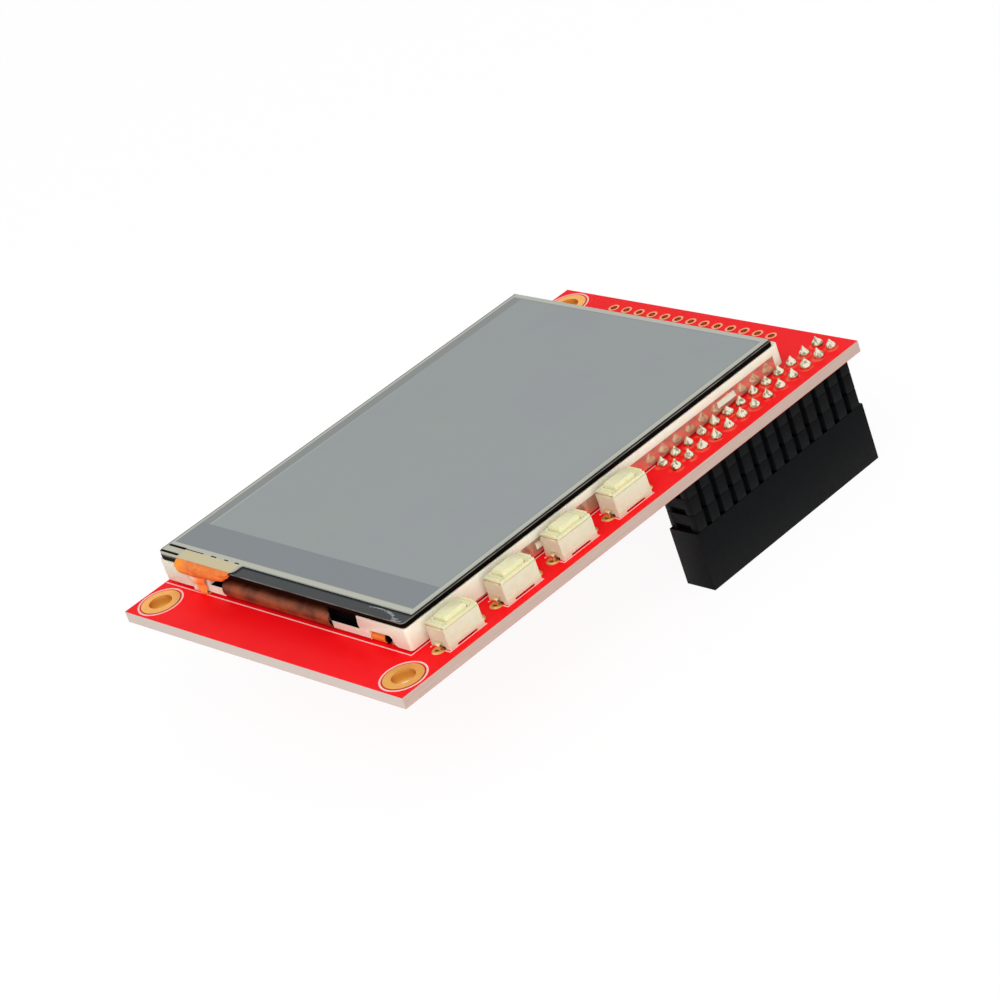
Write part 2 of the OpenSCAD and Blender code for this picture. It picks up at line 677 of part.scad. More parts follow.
// Push buttons --------------------------------------------------------------
stand = 0.28;
stand_l = 1.3;
stand_w = 0.85;
relief = 0.08;
foot_rise = 0.8;
parting = 0.09;
stake_d = 0.5;
well_w = cap_w + 2 * (cap_play + flange_lip);
well_l = cap_l + 2 * (cap_play + flange_lip);
dome_z = cover_z - flange_t - snug - cap_travel - snug - 0.6;
dome_h = 0.3;
lead_t = 0.22;
lead_z = 0.75;
lead_solder_h = 1.05;
lead_solder_r = min(0.95, (switch_pitch - lead_pitch) / 2 - snug);

module at_switch(i) {
    translate([switch_x, switch_y(i), 0]) children();
}

module box_about(w, l, z, h) {
    translate([-w / 2, -l / 2, z]) cube([w, l, h]);
}

module switch_case(i) {
    color("#dcd6b4") at_switch(i) difference() {
        box_about(switch_w, switch_l, top_z, switch_h);
        // The case stands on four corners
        box_about(switch_w + 1, switch_l - 2 * stand_l, top_z - 1, 1 + stand);
        box_about(switch_w - 2 * stand_w, switch_l + 1, top_z - 1, 1 + stand * 1.3);
        // The feet stand a little proud of the sides
        for (s = [0, 1]) mirror([s, 0, 0])
            translate([switch_w / 2 - relief, -switch_l / 2 - 1, top_z + foot_rise]) cube([1, switch_l + 2, 9]);
        // Parting groove under the cover
        for (s = [0, 1]) mirror([s, 0, 0])
            translate([switch_w / 2 - relief - parting, -switch_l / 2 - 1, cover_z - parting]) cube([1, switch_l + 2, 9]);
        // Well of the cap and the dome
        box_about(well_w, well_l, dome_z, 9);
        // Slots of the leads
        for (s = [0, 1]) mirror([0, s, 0])
            translate([-lead_w / 2 - snug, well_l / 2 - 0.6, top_z + lead_z - snug]) cube([lead_w + 2 * snug, 9, lead_t + 2 * snug]);
        // Recesses of the cover's end lugs
        for (s = [0, 1]) mirror([0, s, 0])
            translate([-lug_w / 2 - snug, switch_l / 2 - lug_t - snug, cover_z - lug_drop - snug]) cube([lug_w + 2 * snug, 9, 9]);
    }
    // Stake heads that hold the cover
    color("#dcd6b4") at_switch(i) for (sx = [-1, 1], sy = [-1, 1])
        translate([sx * (switch_w / 2 - 0.38), sy * (switch_l / 2 - 0.62), cover_z - eps]) cylinder(d = stake_d, h = cover_t + 0.12, $fn = 20);
}

lug_w = 2.2;
lug_t = 0.35;
lug_drop = 0.3;
lug_rise = 0.18;

module switch_cover(i) {
    color("#e2dcbc") at_switch(i) difference() {
        union() {
            box_about(switch_w - 2 * relief, switch_l - 2 * relief, cover_z, cover_t);
            for (s = [0, 1]) mirror([0, s, 0])
                translate([-lug_w / 2, switch_l / 2 - lug_t, cover_z - lug_drop]) cube([lug_w, lug_t, lug_drop + cover_t + lug_rise]);
        }
        box_about(cap_w + 2 * cap_play, cap_l + 2 * cap_play, cover_z - 1, 9);
        for (sx = [-1, 1], sy = [-1, 1])
            translate([sx * (switch_w / 2 - 0.38), sy * (switch_l / 2 - 0.62), cover_z - 1]) cylinder(d = stake_d + 2 * snug, h = 9, $fn = 20);
    }
}

module switch_cap(i) {
    r = 0.15;
    color("#ebe6b8") at_switch(i) {
        // Flange held under the cover
        box_about(cap_w + 2 * flange_lip, cap_l + 2 * flange_lip, cover_z - flange_t - snug, flange_t);
        plate(-cap_w / 2, -cap_l / 2, cap_w, cap_l, 0.2, cover_z - snug - eps, cap_top - r - cover_z + snug + eps);
        plate(-cap_w / 2 + r, -cap_l / 2 + r, cap_w - 2 * r, cap_l - 2 * r, 0.15, cap_top - r - eps, r + eps);
        // Plunger over the dome
        translate([0, 0, dome_z + dome_h + cap_travel + 2 * snug]) cylinder(d = 1.1, h = cover_z - flange_t - snug - dome_z - dome_h - cap_travel - 2 * snug + eps, $fn = 24);
    }
}

module switch_dome(i) {
    color("#c8ccd0") at_switch(i) translate([0, 0, dome_z]) rotate_extrude($fn = 32)
        polygon([[0, dome_h - 0.08], [0.6, dome_h - 0.11], [1.05, 0], [1.25, 0], [1.25, 0.08], [1.12, 0.08], [0.65, dome_h - 0.03], [0, dome_h]]);
}

// A lead comes out of the end of the case and bends down through its hole
module switch_lead() {
    r_bend = 0.18;
    y_in = lead_pitch / 2 - well_l / 2 + 0.55;
    color("#dfae5c") translate([-lead_w / 2, 0, 0]) rotate([90, 0, 90]) linear_extrude(lead_w)
        polygon(concat([[y_in, top_z + lead_z], [y_in, top_z + lead_z + lead_t]],
            arc(-lead_t / 2 + r_bend + lead_t / 2, top_z + lead_z + lead_t - r_bend - lead_t / 2, r_bend + lead_t / 2, 90, 180, 4),
            [[-lead_t / 2, -1.4], [0, -1.6], [lead_t / 2, -1.4], [lead_t / 2, top_z + lead_z]]));
}

module switch_leads() at_leads() switch_lead();

module switch_solder() {
    color("#cfd2c8") at_leads() mirror([0, 0, 1]) difference() {
        solder_cone(lead_solder_r, lead_solder_h, lead_w * 0.6);
        translate([-lead_w / 2 - snug, -lead_t / 2 - snug, -1]) cube([lead_w + 2 * snug, lead_t + 2 * snug, 9]);
    }
}

// Underside -----------------------------------------------------------------
ic_body = [4.4, 5, 1];
ic_legs = 8;
ic_leg_pitch = 0.65;
ic_x = left_x + 0.39 * board_w;
ic_y = near_y + 0.28 * board_l;
ic_lift = 0.1;

module touch_controller() {
    color("#26282b") translate([ic_x, ic_y, -ic_lift - ic_body[2]]) difference() {
        plate(-ic_body[0] / 2, -ic_body[1] / 2, ic_body[0], ic_body[1], 0.08, 0, ic_body[2]);
        translate([-ic_body[0] / 2 + 0.7, ic_body[1] / 2 - 0.7, -eps]) cylinder(d = 0.6, h = 0.08, $fn = 20);
    }
}

module controller_legs() {
    color("#c9ccc8") translate([ic_x, ic_y, 0])
        for (s = [0, 1], i = [0:ic_legs - 1]) mirror([s, 0, 0])
            along_y((i - (ic_legs - 1) / 2) * ic_leg_pitch - 0.12, 0.24, [for (p = [[0, 0.55], [0.35, 0.55], [0.5, 0.15],
                [0.5, 0], [1.05, 0], [1.05, 0.14], [0.64, 0.14], [0.5, 0.69], [0, 0.69]])
                [ic_body[0] / 2 + p[0], -p[1]]]);
}

// Chip parts: [x, y, turned] from the middle of the controller
resistor_places = [[-9, -3, 0], [-9, 0, 0], [-9, 3, 0], [9, -3, 0], [9, 0, 0], [16, 13, 1]];
capacitor_places = [[0, -6, 0], [0, 7, 0], [9, 3, 0], [16, 17, 1]];

module chip_part(p, size) {
    translate([ic_x + p[0], ic_y + p[1], -size[2]]) rotate([0, 0, p[2] * 90])
        translate([-size[0] / 2, -size[1] / 2, 0]) cube(size);
}

module board_resistors() {
    color("#2b2d30") for (p = resistor_places) chip_part(p, [2, 1.25, 0.5]);
}

module board_capacitors() {
    color("#b9946a") for (p = capacitor_places) chip_part(p, [2, 1.25, 0.9]);
    // One small capacitor on the display side, beside the lamp flex
    color("#b9946a") translate([frame_x + notch_left + lamp_tab_w + 0.4, frame_y + 0.5, top_z]) cube([0.5, 1, 0.45]);
}

circuit_board();
mounting_lands();
spare_row_lands();
header_socket();
header_spacer_lower();
header_spacer_middle();
header_spacer_upper();
header_contacts();
header_solder();
mounting_tape();
backing_tray();
backlight_frame();
reflector_sheet();
light_guide();
diffuser_sheet();
prism_sheet_lower();
prism_sheet_upper();
lamp_flex();
lamps();
rim_tape();
rear_polariser();
rear_glass();
front_glass();
front_polariser();
driver_chip();
display_ribbon();
ribbon_pads();
panel_tape();
touch_glass();
touch_rim();
touch_film();
touch_tail();
switch_case(0);  // switch_case_1
switch_case(1);  // switch_case_2
switch_case(2);  // switch_case_3
switch_case(3);  // switch_case_4
switch_cover(0);  // switch_cover_1
switch_cover(1);  // switch_cover_2
switch_cover(2);  // switch_cover_3
switch_cover(3);  // switch_cover_4
switch_cap(0);  // switch_cap_1
switch_cap(1);  // switch_cap_2
switch_cap(2);  // switch_cap_3
switch_cap(3);  // switch_cap_4
switch_dome(0);  // switch_dome_1
switch_dome(1);  // switch_dome_2
switch_dome(2);  // switch_dome_3
switch_dome(3);  // switch_dome_4
switch_leads();
switch_solder();
touch_controller();
controller_legs();
board_resistors();
board_capacitors();
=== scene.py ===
"""Looks of a touch display board that plugs onto a two-row pin header.

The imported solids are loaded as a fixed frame. Everything here is in metres in
the same frame: origin in the middle of the board's underside, X across, Y
along, Z out of the display.
"""

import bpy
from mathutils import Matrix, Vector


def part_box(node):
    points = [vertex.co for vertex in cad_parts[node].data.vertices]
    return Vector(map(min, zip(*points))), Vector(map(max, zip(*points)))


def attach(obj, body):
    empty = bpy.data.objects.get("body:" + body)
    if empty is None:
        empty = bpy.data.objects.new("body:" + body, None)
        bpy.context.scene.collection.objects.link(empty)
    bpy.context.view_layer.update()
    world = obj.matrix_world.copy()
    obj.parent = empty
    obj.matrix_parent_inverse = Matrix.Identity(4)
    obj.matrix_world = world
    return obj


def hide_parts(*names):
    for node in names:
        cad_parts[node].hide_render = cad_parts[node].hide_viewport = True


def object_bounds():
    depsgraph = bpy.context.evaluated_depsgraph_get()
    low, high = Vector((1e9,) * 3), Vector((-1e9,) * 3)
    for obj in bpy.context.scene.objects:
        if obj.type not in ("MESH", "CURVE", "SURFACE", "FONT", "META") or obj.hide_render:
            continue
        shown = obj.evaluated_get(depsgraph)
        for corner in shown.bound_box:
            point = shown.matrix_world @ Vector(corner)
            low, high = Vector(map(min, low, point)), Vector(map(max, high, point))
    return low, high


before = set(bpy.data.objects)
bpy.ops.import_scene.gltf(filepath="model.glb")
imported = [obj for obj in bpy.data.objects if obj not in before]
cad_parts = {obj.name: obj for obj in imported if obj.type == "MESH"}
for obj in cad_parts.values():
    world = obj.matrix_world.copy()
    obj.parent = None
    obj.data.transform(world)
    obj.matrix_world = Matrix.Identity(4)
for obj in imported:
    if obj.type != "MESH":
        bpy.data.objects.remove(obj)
CAD_BOX = [list(corner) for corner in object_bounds()]
BOARD_LOW, BOARD_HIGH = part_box("circuit_board")

import logging
import math
import random
from collections.abc import Callable, Iterable, Sequence
from dataclasses import dataclass
from enum import Enum

import bmesh
import bpy
from mathutils import Matrix, Quaternion, Vector

LOG = logging.getLogger("display_board")
MM = 0.001
MODULE = "module"
BUTTONS = 4
Point = Sequence[float]
Pair = tuple[float, float]
Socket = bpy.types.NodeSocket
Tree = bpy.types.NodeTree
Mesh = bmesh.types.BMesh


class Shade(Enum):
    """How the faces of a mesh take light."""

    FLAT = "flat"
    SMOOTH = "smooth"


# Nodes and colours -----------------------------------------------------------


def linear(code: str) -> tuple[float, float, float, float]:
    """Turns an sRGB hex colour into linear light.

    Args:
        code: colour as "#rrggbb".

    Returns:
        Linear red, green, blue and an alpha of one.
    """
    parts = [int(code[i : i + 2], 16) / 255 for i in (1, 3, 5)]
    low = [c / 12.92 if c <= 0.04045 else ((c + 0.055) / 1.055) ** 2.4 for c in parts]
    return (low[0], low[1], low[2], 1.0)


def add_node(tree: Tree, kind: str, settings: dict | None = None, **inputs: object) -> bpy.types.Node:
    """Adds a node with its settings, its values and its links.

    Args:
        tree: node tree that takes the node.
        kind: node type without its ShaderNode prefix.
        settings: attributes of the node.
        **inputs: socket name with underscores for blanks, or an underscore and
            the socket's number, with a value or the socket that feeds it.

    Returns:
        The new node.
    """
    node = tree.nodes.new("ShaderNode" + kind)
    for name, value in (settings or {}).items():
        setattr(node, name, value)
    for name, value in inputs.items():
        key = int(name[1:]) if name[0] == "_" else name.replace("_", " ")
        if isinstance(value, Socket):
            tree.links.new(value, node.inputs[key])
        else:
            node.inputs[key].default_value = value
    return node


@dataclass(frozen=True)
class Finish:
    """A surface as it was made: base colour, gloss and a fine pattern.

    Fields hold the sRGB colour, a second colour that the pattern brings in by
    mottle where the pattern passes through spread, the size of the pattern in
    millimetres, and its height for bump. A waxy plastic also has the depth to
    which light scatters in it, and how much of the light does.
    """

    name: str
    colour: str
    roughness: float
    metallic: float = 0.0
    specular: float = 0.5
    second: str = ""
    mottle: float = 0.0
    spread: tuple[float, float] = (0.35, 0.65)
    pattern_mm: float = 0.5
    stretch: tuple[float, float, float] = (1.0, 1.0, 1.0)
    bump_um: float = 0.0
    depth_mm: float = 0.0
    scatter: float = 0.35
    transmission: float = 0.0
    gloss_spread: float = 0.15

    def place(self, tree: Tree) -> Socket:
        """Gives the point on the part, in metres, so that patterns don't slide."""
        return add_node(tree, "TexCoord").outputs["Object"]

    def grain(self, tree: Tree, place: Socket) -> Socket:
        """Adds the fine pattern.

        Args:
            tree: node tree of the material.
            place: point on the part.

        Returns:
            Pattern from zero to one.
        """
        scale = [s / (self.pattern_mm * MM) for s in self.stretch]
        moved = add_node(tree, "Mapping", Vector=place, Scale=scale)
        noise = add_node(tree, "TexNoise", Vector=moved.outputs[0], Scale=1.0, Detail=3.0, Roughness=0.55)
        return noise.outputs["Fac"]

    def colours(self, tree: Tree, place: Socket, grain: Socket) -> Socket:
        """Adds the base colour with the second one mottled in.

        Args:
            tree: node tree of the material.
            place: point on the part.
            grain: fine pattern.

        Returns:
            Colour.
        """
        amount = add_node(
            tree, "MapRange", Value=grain, From_Min=self.spread[0], From_Max=self.spread[1],
            To_Max=self.mottle
        )
        return layered(tree, self.colour, (amount.outputs[0], self.second or self.colour))

    def make(self) -> bpy.types.Material:
        """Makes the material once and returns it."""
        made = bpy.data.materials.get(self.name)
        if made:
            return made
        made = bpy.data.materials.new(self.name)
        made.use_nodes = True
        tree = made.node_tree
        tree.nodes.clear()
        place = self.place(tree)
        grain = self.grain(tree, place)
        shader = add_node(
            tree, "BsdfPrincipled", Base_Color=self.colours(tree, place, grain), Metallic=self.metallic,
            Specular_IOR_Level=self.specular, Transmission_Weight=self.transmission,
            Roughness=self.gloss(tree, grain)
        )
        if self.depth_mm:
            shader.inputs["Subsurface Weight"].default_value = self.scatter
            shader.inputs["Subsurface Scale"].default_value = self.depth_mm * MM
        if self.bump_um:
            bump = add_node(tree, "Bump", Strength=1.0, Distance=self.bump_um * MM * MM, Height=grain)
            tree.links.new(bump.outputs[0], shader.inputs["Normal"])
        add_node(tree, "OutputMaterial", Surface=shader.outputs[0])
        made.diffuse_color = linear(self.colour)
        return made

    def gloss(self, tree: Tree, grain: Socket) -> Socket:
        """Varies the roughness a little with the pattern.

        Args:
            tree: node tree of the material.
            grain: fine pattern.

        Returns:
            Roughness.
        """
        low = self.roughness * (1 - self.gloss_spread)
        high = min(1.0, self.roughness * (1 + self.gloss_spread))
        return add_node(tree, "MapRange", Value=grain, To_Min=low, To_Max=high).outputs[0]


def layered(tree: Tree, under: object, *layers: tuple[Socket, object]) -> Socket:
    """Lays colours over one another, each as far as its mask is one.

    Args:
        tree: node tree of the material.
        under: lowest colour, as a socket or as "#rrggbb".
        *layers: mask and colour of each layer, from the lowest up.

    Returns:
        Colour.
    """
    for mask, over in layers:
        low, high = (linear(c) if isinstance(c, str) else c for c in (under, over))
        under = add_node(tree, "Mix", {"data_type": "RGBA"}, _0=mask, _6=low, _7=high).outputs[2]
    return under


def ramp(tree: Tree, place: Socket, axis: int, start: float, full: float, amount: float = 1.0) -> Socket:
    """Marks a zone that comes in along an axis.

    Args:
        tree: node tree of the material.
        place: point on the part.
        axis: number of the axis.
        start: where the zone starts, in metres.
        full: where it has come in, in metres.
        amount: how far it comes in.

    Returns:
        Zero before the start, the amount where it has come in.
    """
    along = add_node(tree, "SeparateXYZ", Vector=place).outputs[axis]
    return add_node(
        tree, "MapRange", Value=along, From_Min=start, From_Max=full, To_Max=amount
    ).outputs[0]


def rectangle(tree: Tree, place: Socket, low: Point, high: Point, soft: float) -> Socket:
    """Marks a rectangle seen along Z.

    Args:
        tree: node tree of the material.
        place: point on the part.
        low: least X and Y, in metres.
        high: greatest X and Y, in metres.
        soft: width of the edge, in metres.

    Returns:
        One inside, zero outside.
    """
    axes = add_node(tree, "SeparateXYZ", Vector=place)
    least: Socket | None = None
    for axis in (0, 1):
        for sign, edge in ((1, low[axis]), (-1, high[axis])):
            side = add_node(
                tree, "Math", {"operation": "MULTIPLY_ADD"}, _0=axes.outputs[axis], _1=sign,
                _2=-sign * edge
            ).outputs[0]
            if least is not None:
                side = add_node(tree, "Math", {"operation": "MINIMUM"}, _0=least, _1=side).outputs[0]
            least = side
    return add_node(tree, "MapRange", Value=least, From_Min=-soft / 2, From_Max=soft / 2).outputs[0]


def slab(tree: Tree, height: Socket, low: float, high: float, soft: float) -> Socket:
    """Marks what lies between two heights.

    Args:
        tree: node tree of the material.
        height: height of the point, in metres.
        low: lower height, in metres.
        high: upper height, in metres.
        soft: width of the edges, in metres.

    Returns:
        One inside, zero outside.
    """
    off = add_node(tree, "Math", {"operation": "SUBTRACT"}, _0=height, _1=(low + high) / 2)
    away = add_node(tree, "Math", {"operation": "ABSOLUTE"}, _0=off.outputs[0])
    half = (high - low) / 2
    return add_node(
        tree, "MapRange", Value=away.outputs[0], From_Min=half, From_Max=half - soft
    ).outputs[0]


# Meshes ----------------------------------------------------------------------


def piece(
    name: str, bm: Mesh, finish: Finish, body: str = MODULE, shade: Shade = Shade.FLAT
) -> bpy.types.Object:
    """Turns a bmesh into a piece that rides on a body.

    Args:
        name: name of the piece.
        bm: mesh, freed here.
        finish: its surface.
        body: body that it rides on.
        shade: flat or smooth faces.

    Returns:
        The new object.
    """
    bmesh.ops.recalc_face_normals(bm, faces=bm.faces)
    for face in bm.faces:
        face.smooth = shade is Shade.SMOOTH
    mesh = bpy.data.meshes.new(name)
    bm.to_mesh(mesh)
    bm.free()
    mesh.materials.append(finish.make())
    made = bpy.data.objects.new(name, mesh)
    bpy.context.scene.collection.objects.link(made)
    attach(made, body)
    LOG.info("%s: %d faces", name, len(mesh.polygons))
    return made


def dress(node: str, finish: Finish) -> None:
    """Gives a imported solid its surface.

    Args:
        node: name of the solid.
        finish: its surface.
    """
    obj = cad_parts[node]
    material = finish.make()
    if not obj.material_slots:
        obj.data.materials.append(material)
    for slot in obj.material_slots:
        slot.material = material
    LOG.info("%s: %s", node, finish.name)


def solid(node: str) -> Mesh:
    """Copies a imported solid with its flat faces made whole.

    Args:
        node: name of the solid.

    Returns:
        The copy, at its place.
    """
    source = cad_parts[node]
    bm = bmesh.new()
    bm.from_mesh(source.data)
    bm.transform(source.matrix_world)
    bmesh.ops.remove_doubles(bm, verts=bm.verts, dist=1e-7)
    bmesh.ops.dissolve_limit(bm, angle_limit=math.radians(1), verts=bm.verts, edges=bm.edges)
    return bm


def curve(points: Sequence[tuple[float, float]], at: float) -> float:
    """Reads a smooth curve through a few points.

    Args:
        points: places and values, in order of place.
        at: place to read.

    Returns:
        Value there.
    """
    for (a, low), (b, high) in zip(points, points[1:]):
        if at <= b:
            part = max(0.0, (at - a) / (b - a))
            return low + (high - low) * part * part * (3 - 2 * part)
    return points[-1][1]


def eased(node: str, width_mm: float, finish: Finish, body: str = MODULE) -> bpy.types.Object:
    """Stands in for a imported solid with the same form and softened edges.

    Args:
        node: name of the solid.
        width_mm: width of the softened edge.
        finish: its surface.
        body: body that it rides on.

    Returns:
        The new piece.
    """
    made = piece(node + "_eased", solid(node), finish, body, Shade.SMOOTH)
    bevel = made.modifiers.new("edges", "BEVEL")
    bevel.width = width_mm * MM
    bevel.segments = 2
    bevel.limit_method = "ANGLE"
    bevel.angle_limit = math.radians(35)
    bevel.harden_normals = True
    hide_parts(node)
    return made


def add_box(bm: Mesh, low: Point, high: Point) -> None:
    """Adds a box between two corners.

    Args:
        bm: mesh that takes the box.
        low: lowest corner.
        high: highest corner.
    """
    size = [h - l for l, h in zip(low, high)]
    middle = [(h + l) / 2 for l, h in zip(low, high)]
    turned = Matrix.Translation(middle) @ Matrix.Diagonal((*size, 1))
    bmesh.ops.create_cube(bm, size=1.0, matrix=turned)


def add_lathe(
    bm: Mesh, centre: Point, profile: Sequence[tuple[float, float]], steps: int = 24,
    shape: Callable[[float], float] = lambda angle: 1.0
) -> None:
    """Turns a profile round a vertical axis.

    Args:
        bm: mesh that takes the form.
        centre: point on the axis where the profile's height is zero.
        profile: radius and height of each ring; a radius of zero is a tip.
        steps: faces round the axis.
        shape: how much wider the rings are at an angle.
    """
    rings = []
    for radius, height in profile:
        spots = []
        for i in range(steps if radius else 1):
            angle = 2 * math.pi * i / steps
            wide = radius * shape(angle)
            spots.append(
                bm.verts.new(
                    (
                        centre[0] + wide * math.cos(angle),
                        centre[1] + wide * math.sin(angle),
                        centre[2] + height,
                    )
                )
            )
        rings.append(spots)
    for below, above in zip(rings, rings[1:]):
        for i in range(steps):
            j = (i + 1) % steps
            corners = [
                below[i % len(below)], below[j % len(below)], above[j % len(above)], above[i % len(above)]
            ]
            unique = list(dict.fromkeys(corners))
            if len(unique) > 2:
                bm.faces.new(unique)


def add_ring(bm: Mesh, centre: Point, inner: float, outer: float, height: float, steps: int = 64) -> None:
    """Adds a flat ring with a little height.

    Args:
        bm: mesh that takes the ring.
        centre: its middle, on the surface that carries it.
        inner: inner radius.
        outer: outer radius.
        height: thickness.
        steps: faces round it.
    """
    profile = [(inner, 0), (outer, 0), (outer, height), (inner, height), (inner, 0)]
    add_lathe(bm, centre, profile, steps)


def add_strip(bm: Mesh, path: Sequence[Point], width: float, z: float, height: float) -> None:
    """Adds a flat printed line that follows a path.

    Args:
        bm: mesh that takes the line.
        path: points of its middle, in X and Y.
        width: width of the line.
        z: height of the surface under it.
        height: thickness.
    """
    points = [Vector(p) for p in path]
    sides: list[tuple[Vector, Vector]] = []
    for i, point in enumerate(points):
        before = (point - points[i - 1]).normalized() if i else None
        after = ((points[i + 1] - point).normalized() if i + 1 < len(points) else before)
        before = before or after
        along = (before + after).normalized()
        across = Vector((-along.y, along.x)) * (width / 2 / max(0.3, along.dot(after)))
        sides.append((point + across, point - across))
    rows = []
    for left, right in sides:
        rows.append(
            [
                bm.verts.new((p.x, p.y, z + h))
                for p, h in ((left, 0), (right, 0), (right, height), (left, height))
            ]
        )
    for a, b in zip(rows, rows[1:]):
        for i in range(4):
            j = (i + 1) % 4
            bm.faces.new((a[i], a[j], b[j], b[i]))
    bm.faces.new(rows[0])
    bm.faces.new(rows[-1])


def add_sheet(bm: Mesh, rows: Sequence[Sequence[Point]], thickness: float) -> None:
    """Adds a bent sheet through rows of points, with a thickness.

    Args:
        bm: mesh that takes the sheet.
        rows: points of its top face, row by row along its length.
        thickness: distance to its other face.
    """
    count = len(rows[0])
    grids = []
    for side in (0, 1):
        grid = []
        for i, row in enumerate(rows):
            ahead = rows[min(i + 1, len(rows) - 1)]
            behind = rows[max(i - 1, 0)]
            line = []
            for k, point in enumerate(row):
                along = Vector(ahead[k]) - Vector(behind[k])
                across = Vector(row[min(k + 1, count - 1)]) - Vector(row[max(k - 1, 0)])
                normal = along.cross(across).normalized()
                line.append(bm.verts.new(Vector(point) + normal * thickness * side))
            grid.append(line)
        grids.append(grid)
    top, under = grids
    for grid in grids:
        for a, b in zip(grid, grid[1:]):
            for k in range(count - 1):
                bm.faces.new((a[k], a[k + 1], b[k + 1], b[k]))
    rim = (
        [(0, k) for k in range(count)]
        + [(i, count - 1) for i in range(1, len(rows))]
        + [(len(rows) - 1, k) for k in range(count - 2, -1, -1)]
        + [(i, 0) for i in range(len(rows) - 2, 0, -1)]
    )
    for (i, k), (m, n) in zip(rim, rim[1:] + rim[:1]):
        bm.faces.new((top[i][k], top[m][n], under[m][n], under[i][k]))


# Finishes --------------------------------------------------------------------


@dataclass(frozen=True)
class SolderMask(Finish):
    """Red photo-imaged epoxy ink over glass-fibre laminate, bare at the sawn sides.

    The ink is even. The sides show the cloth layers as fine pale lines, with a
    pink cast where the ink's red shines through. A painted reflection of the
    header's joints lies as a salmon glow on the ink, to one side of each joint.
    """

    side: str = "#c9b2a6"
    side_second: str = "#bda195"
    # Painted light: the laminate's near side is painted paler than its other sides.
    painted_light_near_side: str = "#ddd2c9"
    painted_light_near_mm: float = 0.03
    painted_light_near_amount: float = 0.75
    top_mm: float = 1.6
    skin_mm: float = 0.02
    skin_soft_mm: float = 0.01
    layer_mm: float = 0.16
    layer_reach: float = 45.0
    # Painted reflection: a salmon glow of the header's joints, painted on the ink.
    painted_reflection: str = "#ff8a68"
    painted_reflection_mm: float = 1.15
    painted_reflection_amount: float = 0.5
    painted_reflection_shift_mm: tuple[float, float] = (0.05, -0.14)
    patch_mm: float = 1.3

    def painted_reflection_mask(self, tree: Tree, place: Socket) -> Socket:
        """Marks the painted reflection of the joints, a little to one side of each joint.

        Args:
            tree: node tree of the material.
            place: point on the part.

        Returns:
            Amount of painted reflection.
        """
        header = StackedHeader()
        pitch = header.pitch
        first = header.places()[0] + Vector((*self.painted_reflection_shift_mm, 0)) * MM
        count = (header.rows - 1, header.per_row - 1, 0)
        nearest: Socket = place
        for operation, value in (
            ("SUBTRACT", first), ("DIVIDE", (pitch, pitch, 1)), ("MAXIMUM", (0, 0, 0)),
            ("MINIMUM", count), ("ADD", (0.5, 0.5, 0)), ("FLOOR", (0, 0, 0)),
            ("MULTIPLY", (pitch, pitch, 0)), ("ADD", first), ("SUBTRACT", place)
        ):
            nearest = add_node(
                tree, "VectorMath", {"operation": operation}, _0=nearest, _1=value
            ).outputs[0]
        away = add_node(tree, "VectorMath", {"operation": "LENGTH"}, _0=nearest).outputs["Value"]
        near = add_node(
            tree, "MapRange", Value=away, From_Min=self.painted_reflection_mm * MM, From_Max=0.75 * self.painted_reflection_mm * MM,
            To_Max=self.painted_reflection_amount
        )
        patchy = self.patches(tree, place)
        return add_node(tree, "Math", {"operation": "MULTIPLY"}, _0=near.outputs[0], _1=patchy).outputs[0]

    def patches(self, tree: Tree, place: Socket) -> Socket:
        """Breaks the painted reflection into patches of a few millimetres."""
        scale = [1 / (self.patch_mm * MM)] * 3
        moved = add_node(tree, "Mapping", Vector=place, Scale=scale)
        noise = add_node(tree, "TexNoise", Vector=moved.outputs[0], Scale=1.0)
        return add_node(
            tree, "MapRange", Value=noise.outputs["Fac"], From_Min=0.35, From_Max=0.6
        ).outputs[0]

    def colours(self, tree: Tree, place: Socket, grain: Socket) -> Socket:
        """Adds the ink on both faces and the layered laminate between them, with painted light on the
        near side.
        """
        plain = super().colours(tree, place, grain)
        # Painted reflection of the joints laid over the ink.
        ink = layered(tree, plain, (self.painted_reflection_mask(tree, place), self.painted_reflection))
        height = add_node(tree, "SeparateXYZ", Vector=place).outputs[2]
        skin = self.skin_mm * MM
        top = self.top_mm * MM - skin
        inside = slab(tree, height, skin, top, self.skin_soft_mm * MM)
        scale = 1 / (self.layer_mm * MM)
        wide = scale / self.layer_reach
        flat = add_node(tree, "Mapping", Vector=place, Scale=(wide, wide, scale))
        cloth = add_node(tree, "TexNoise", Vector=flat.outputs[0], Scale=1.0, Detail=4.0, Roughness=0.6)
        lines = add_node(
            tree, "MapRange", Value=cloth.outputs["Fac"], From_Min=0.3, From_Max=0.7
        ).outputs[0]
        edge = BOARD_LOW.y
        # Painted light on the near side of the laminate.
        near = ramp(tree, place, 1, edge + self.painted_light_near_mm * MM, edge, self.painted_light_near_amount)
        laminate = layered(tree, self.side, (lines, self.side_second), (near, self.painted_light_near_side))
        return layered(tree, ink, (inside, laminate))


@dataclass(frozen=True)
class HolePlating(Finish):
    """Gold on both faces of the board, with painted shade down in the barrels."""

    # Painted shade: the barrels are painted darker than the lands.
    barrel_shade: str = "#dc9038"
    board_mm: float = 1.6
    soft_mm: float = 0.5

    def colours(self, tree: Tree, place: Socket, grain: Socket) -> Socket:
        """Adds the painted shade on the barrel between the board's faces."""
        land = super().colours(tree, place, grain)
        height = add_node(tree, "SeparateXYZ", Vector=place).outputs[2]
        inside = slab(tree, height, 0.0, self.board_mm * MM, self.soft_mm * MM)
        return layered(tree, land, (inside, self.barrel_shade))


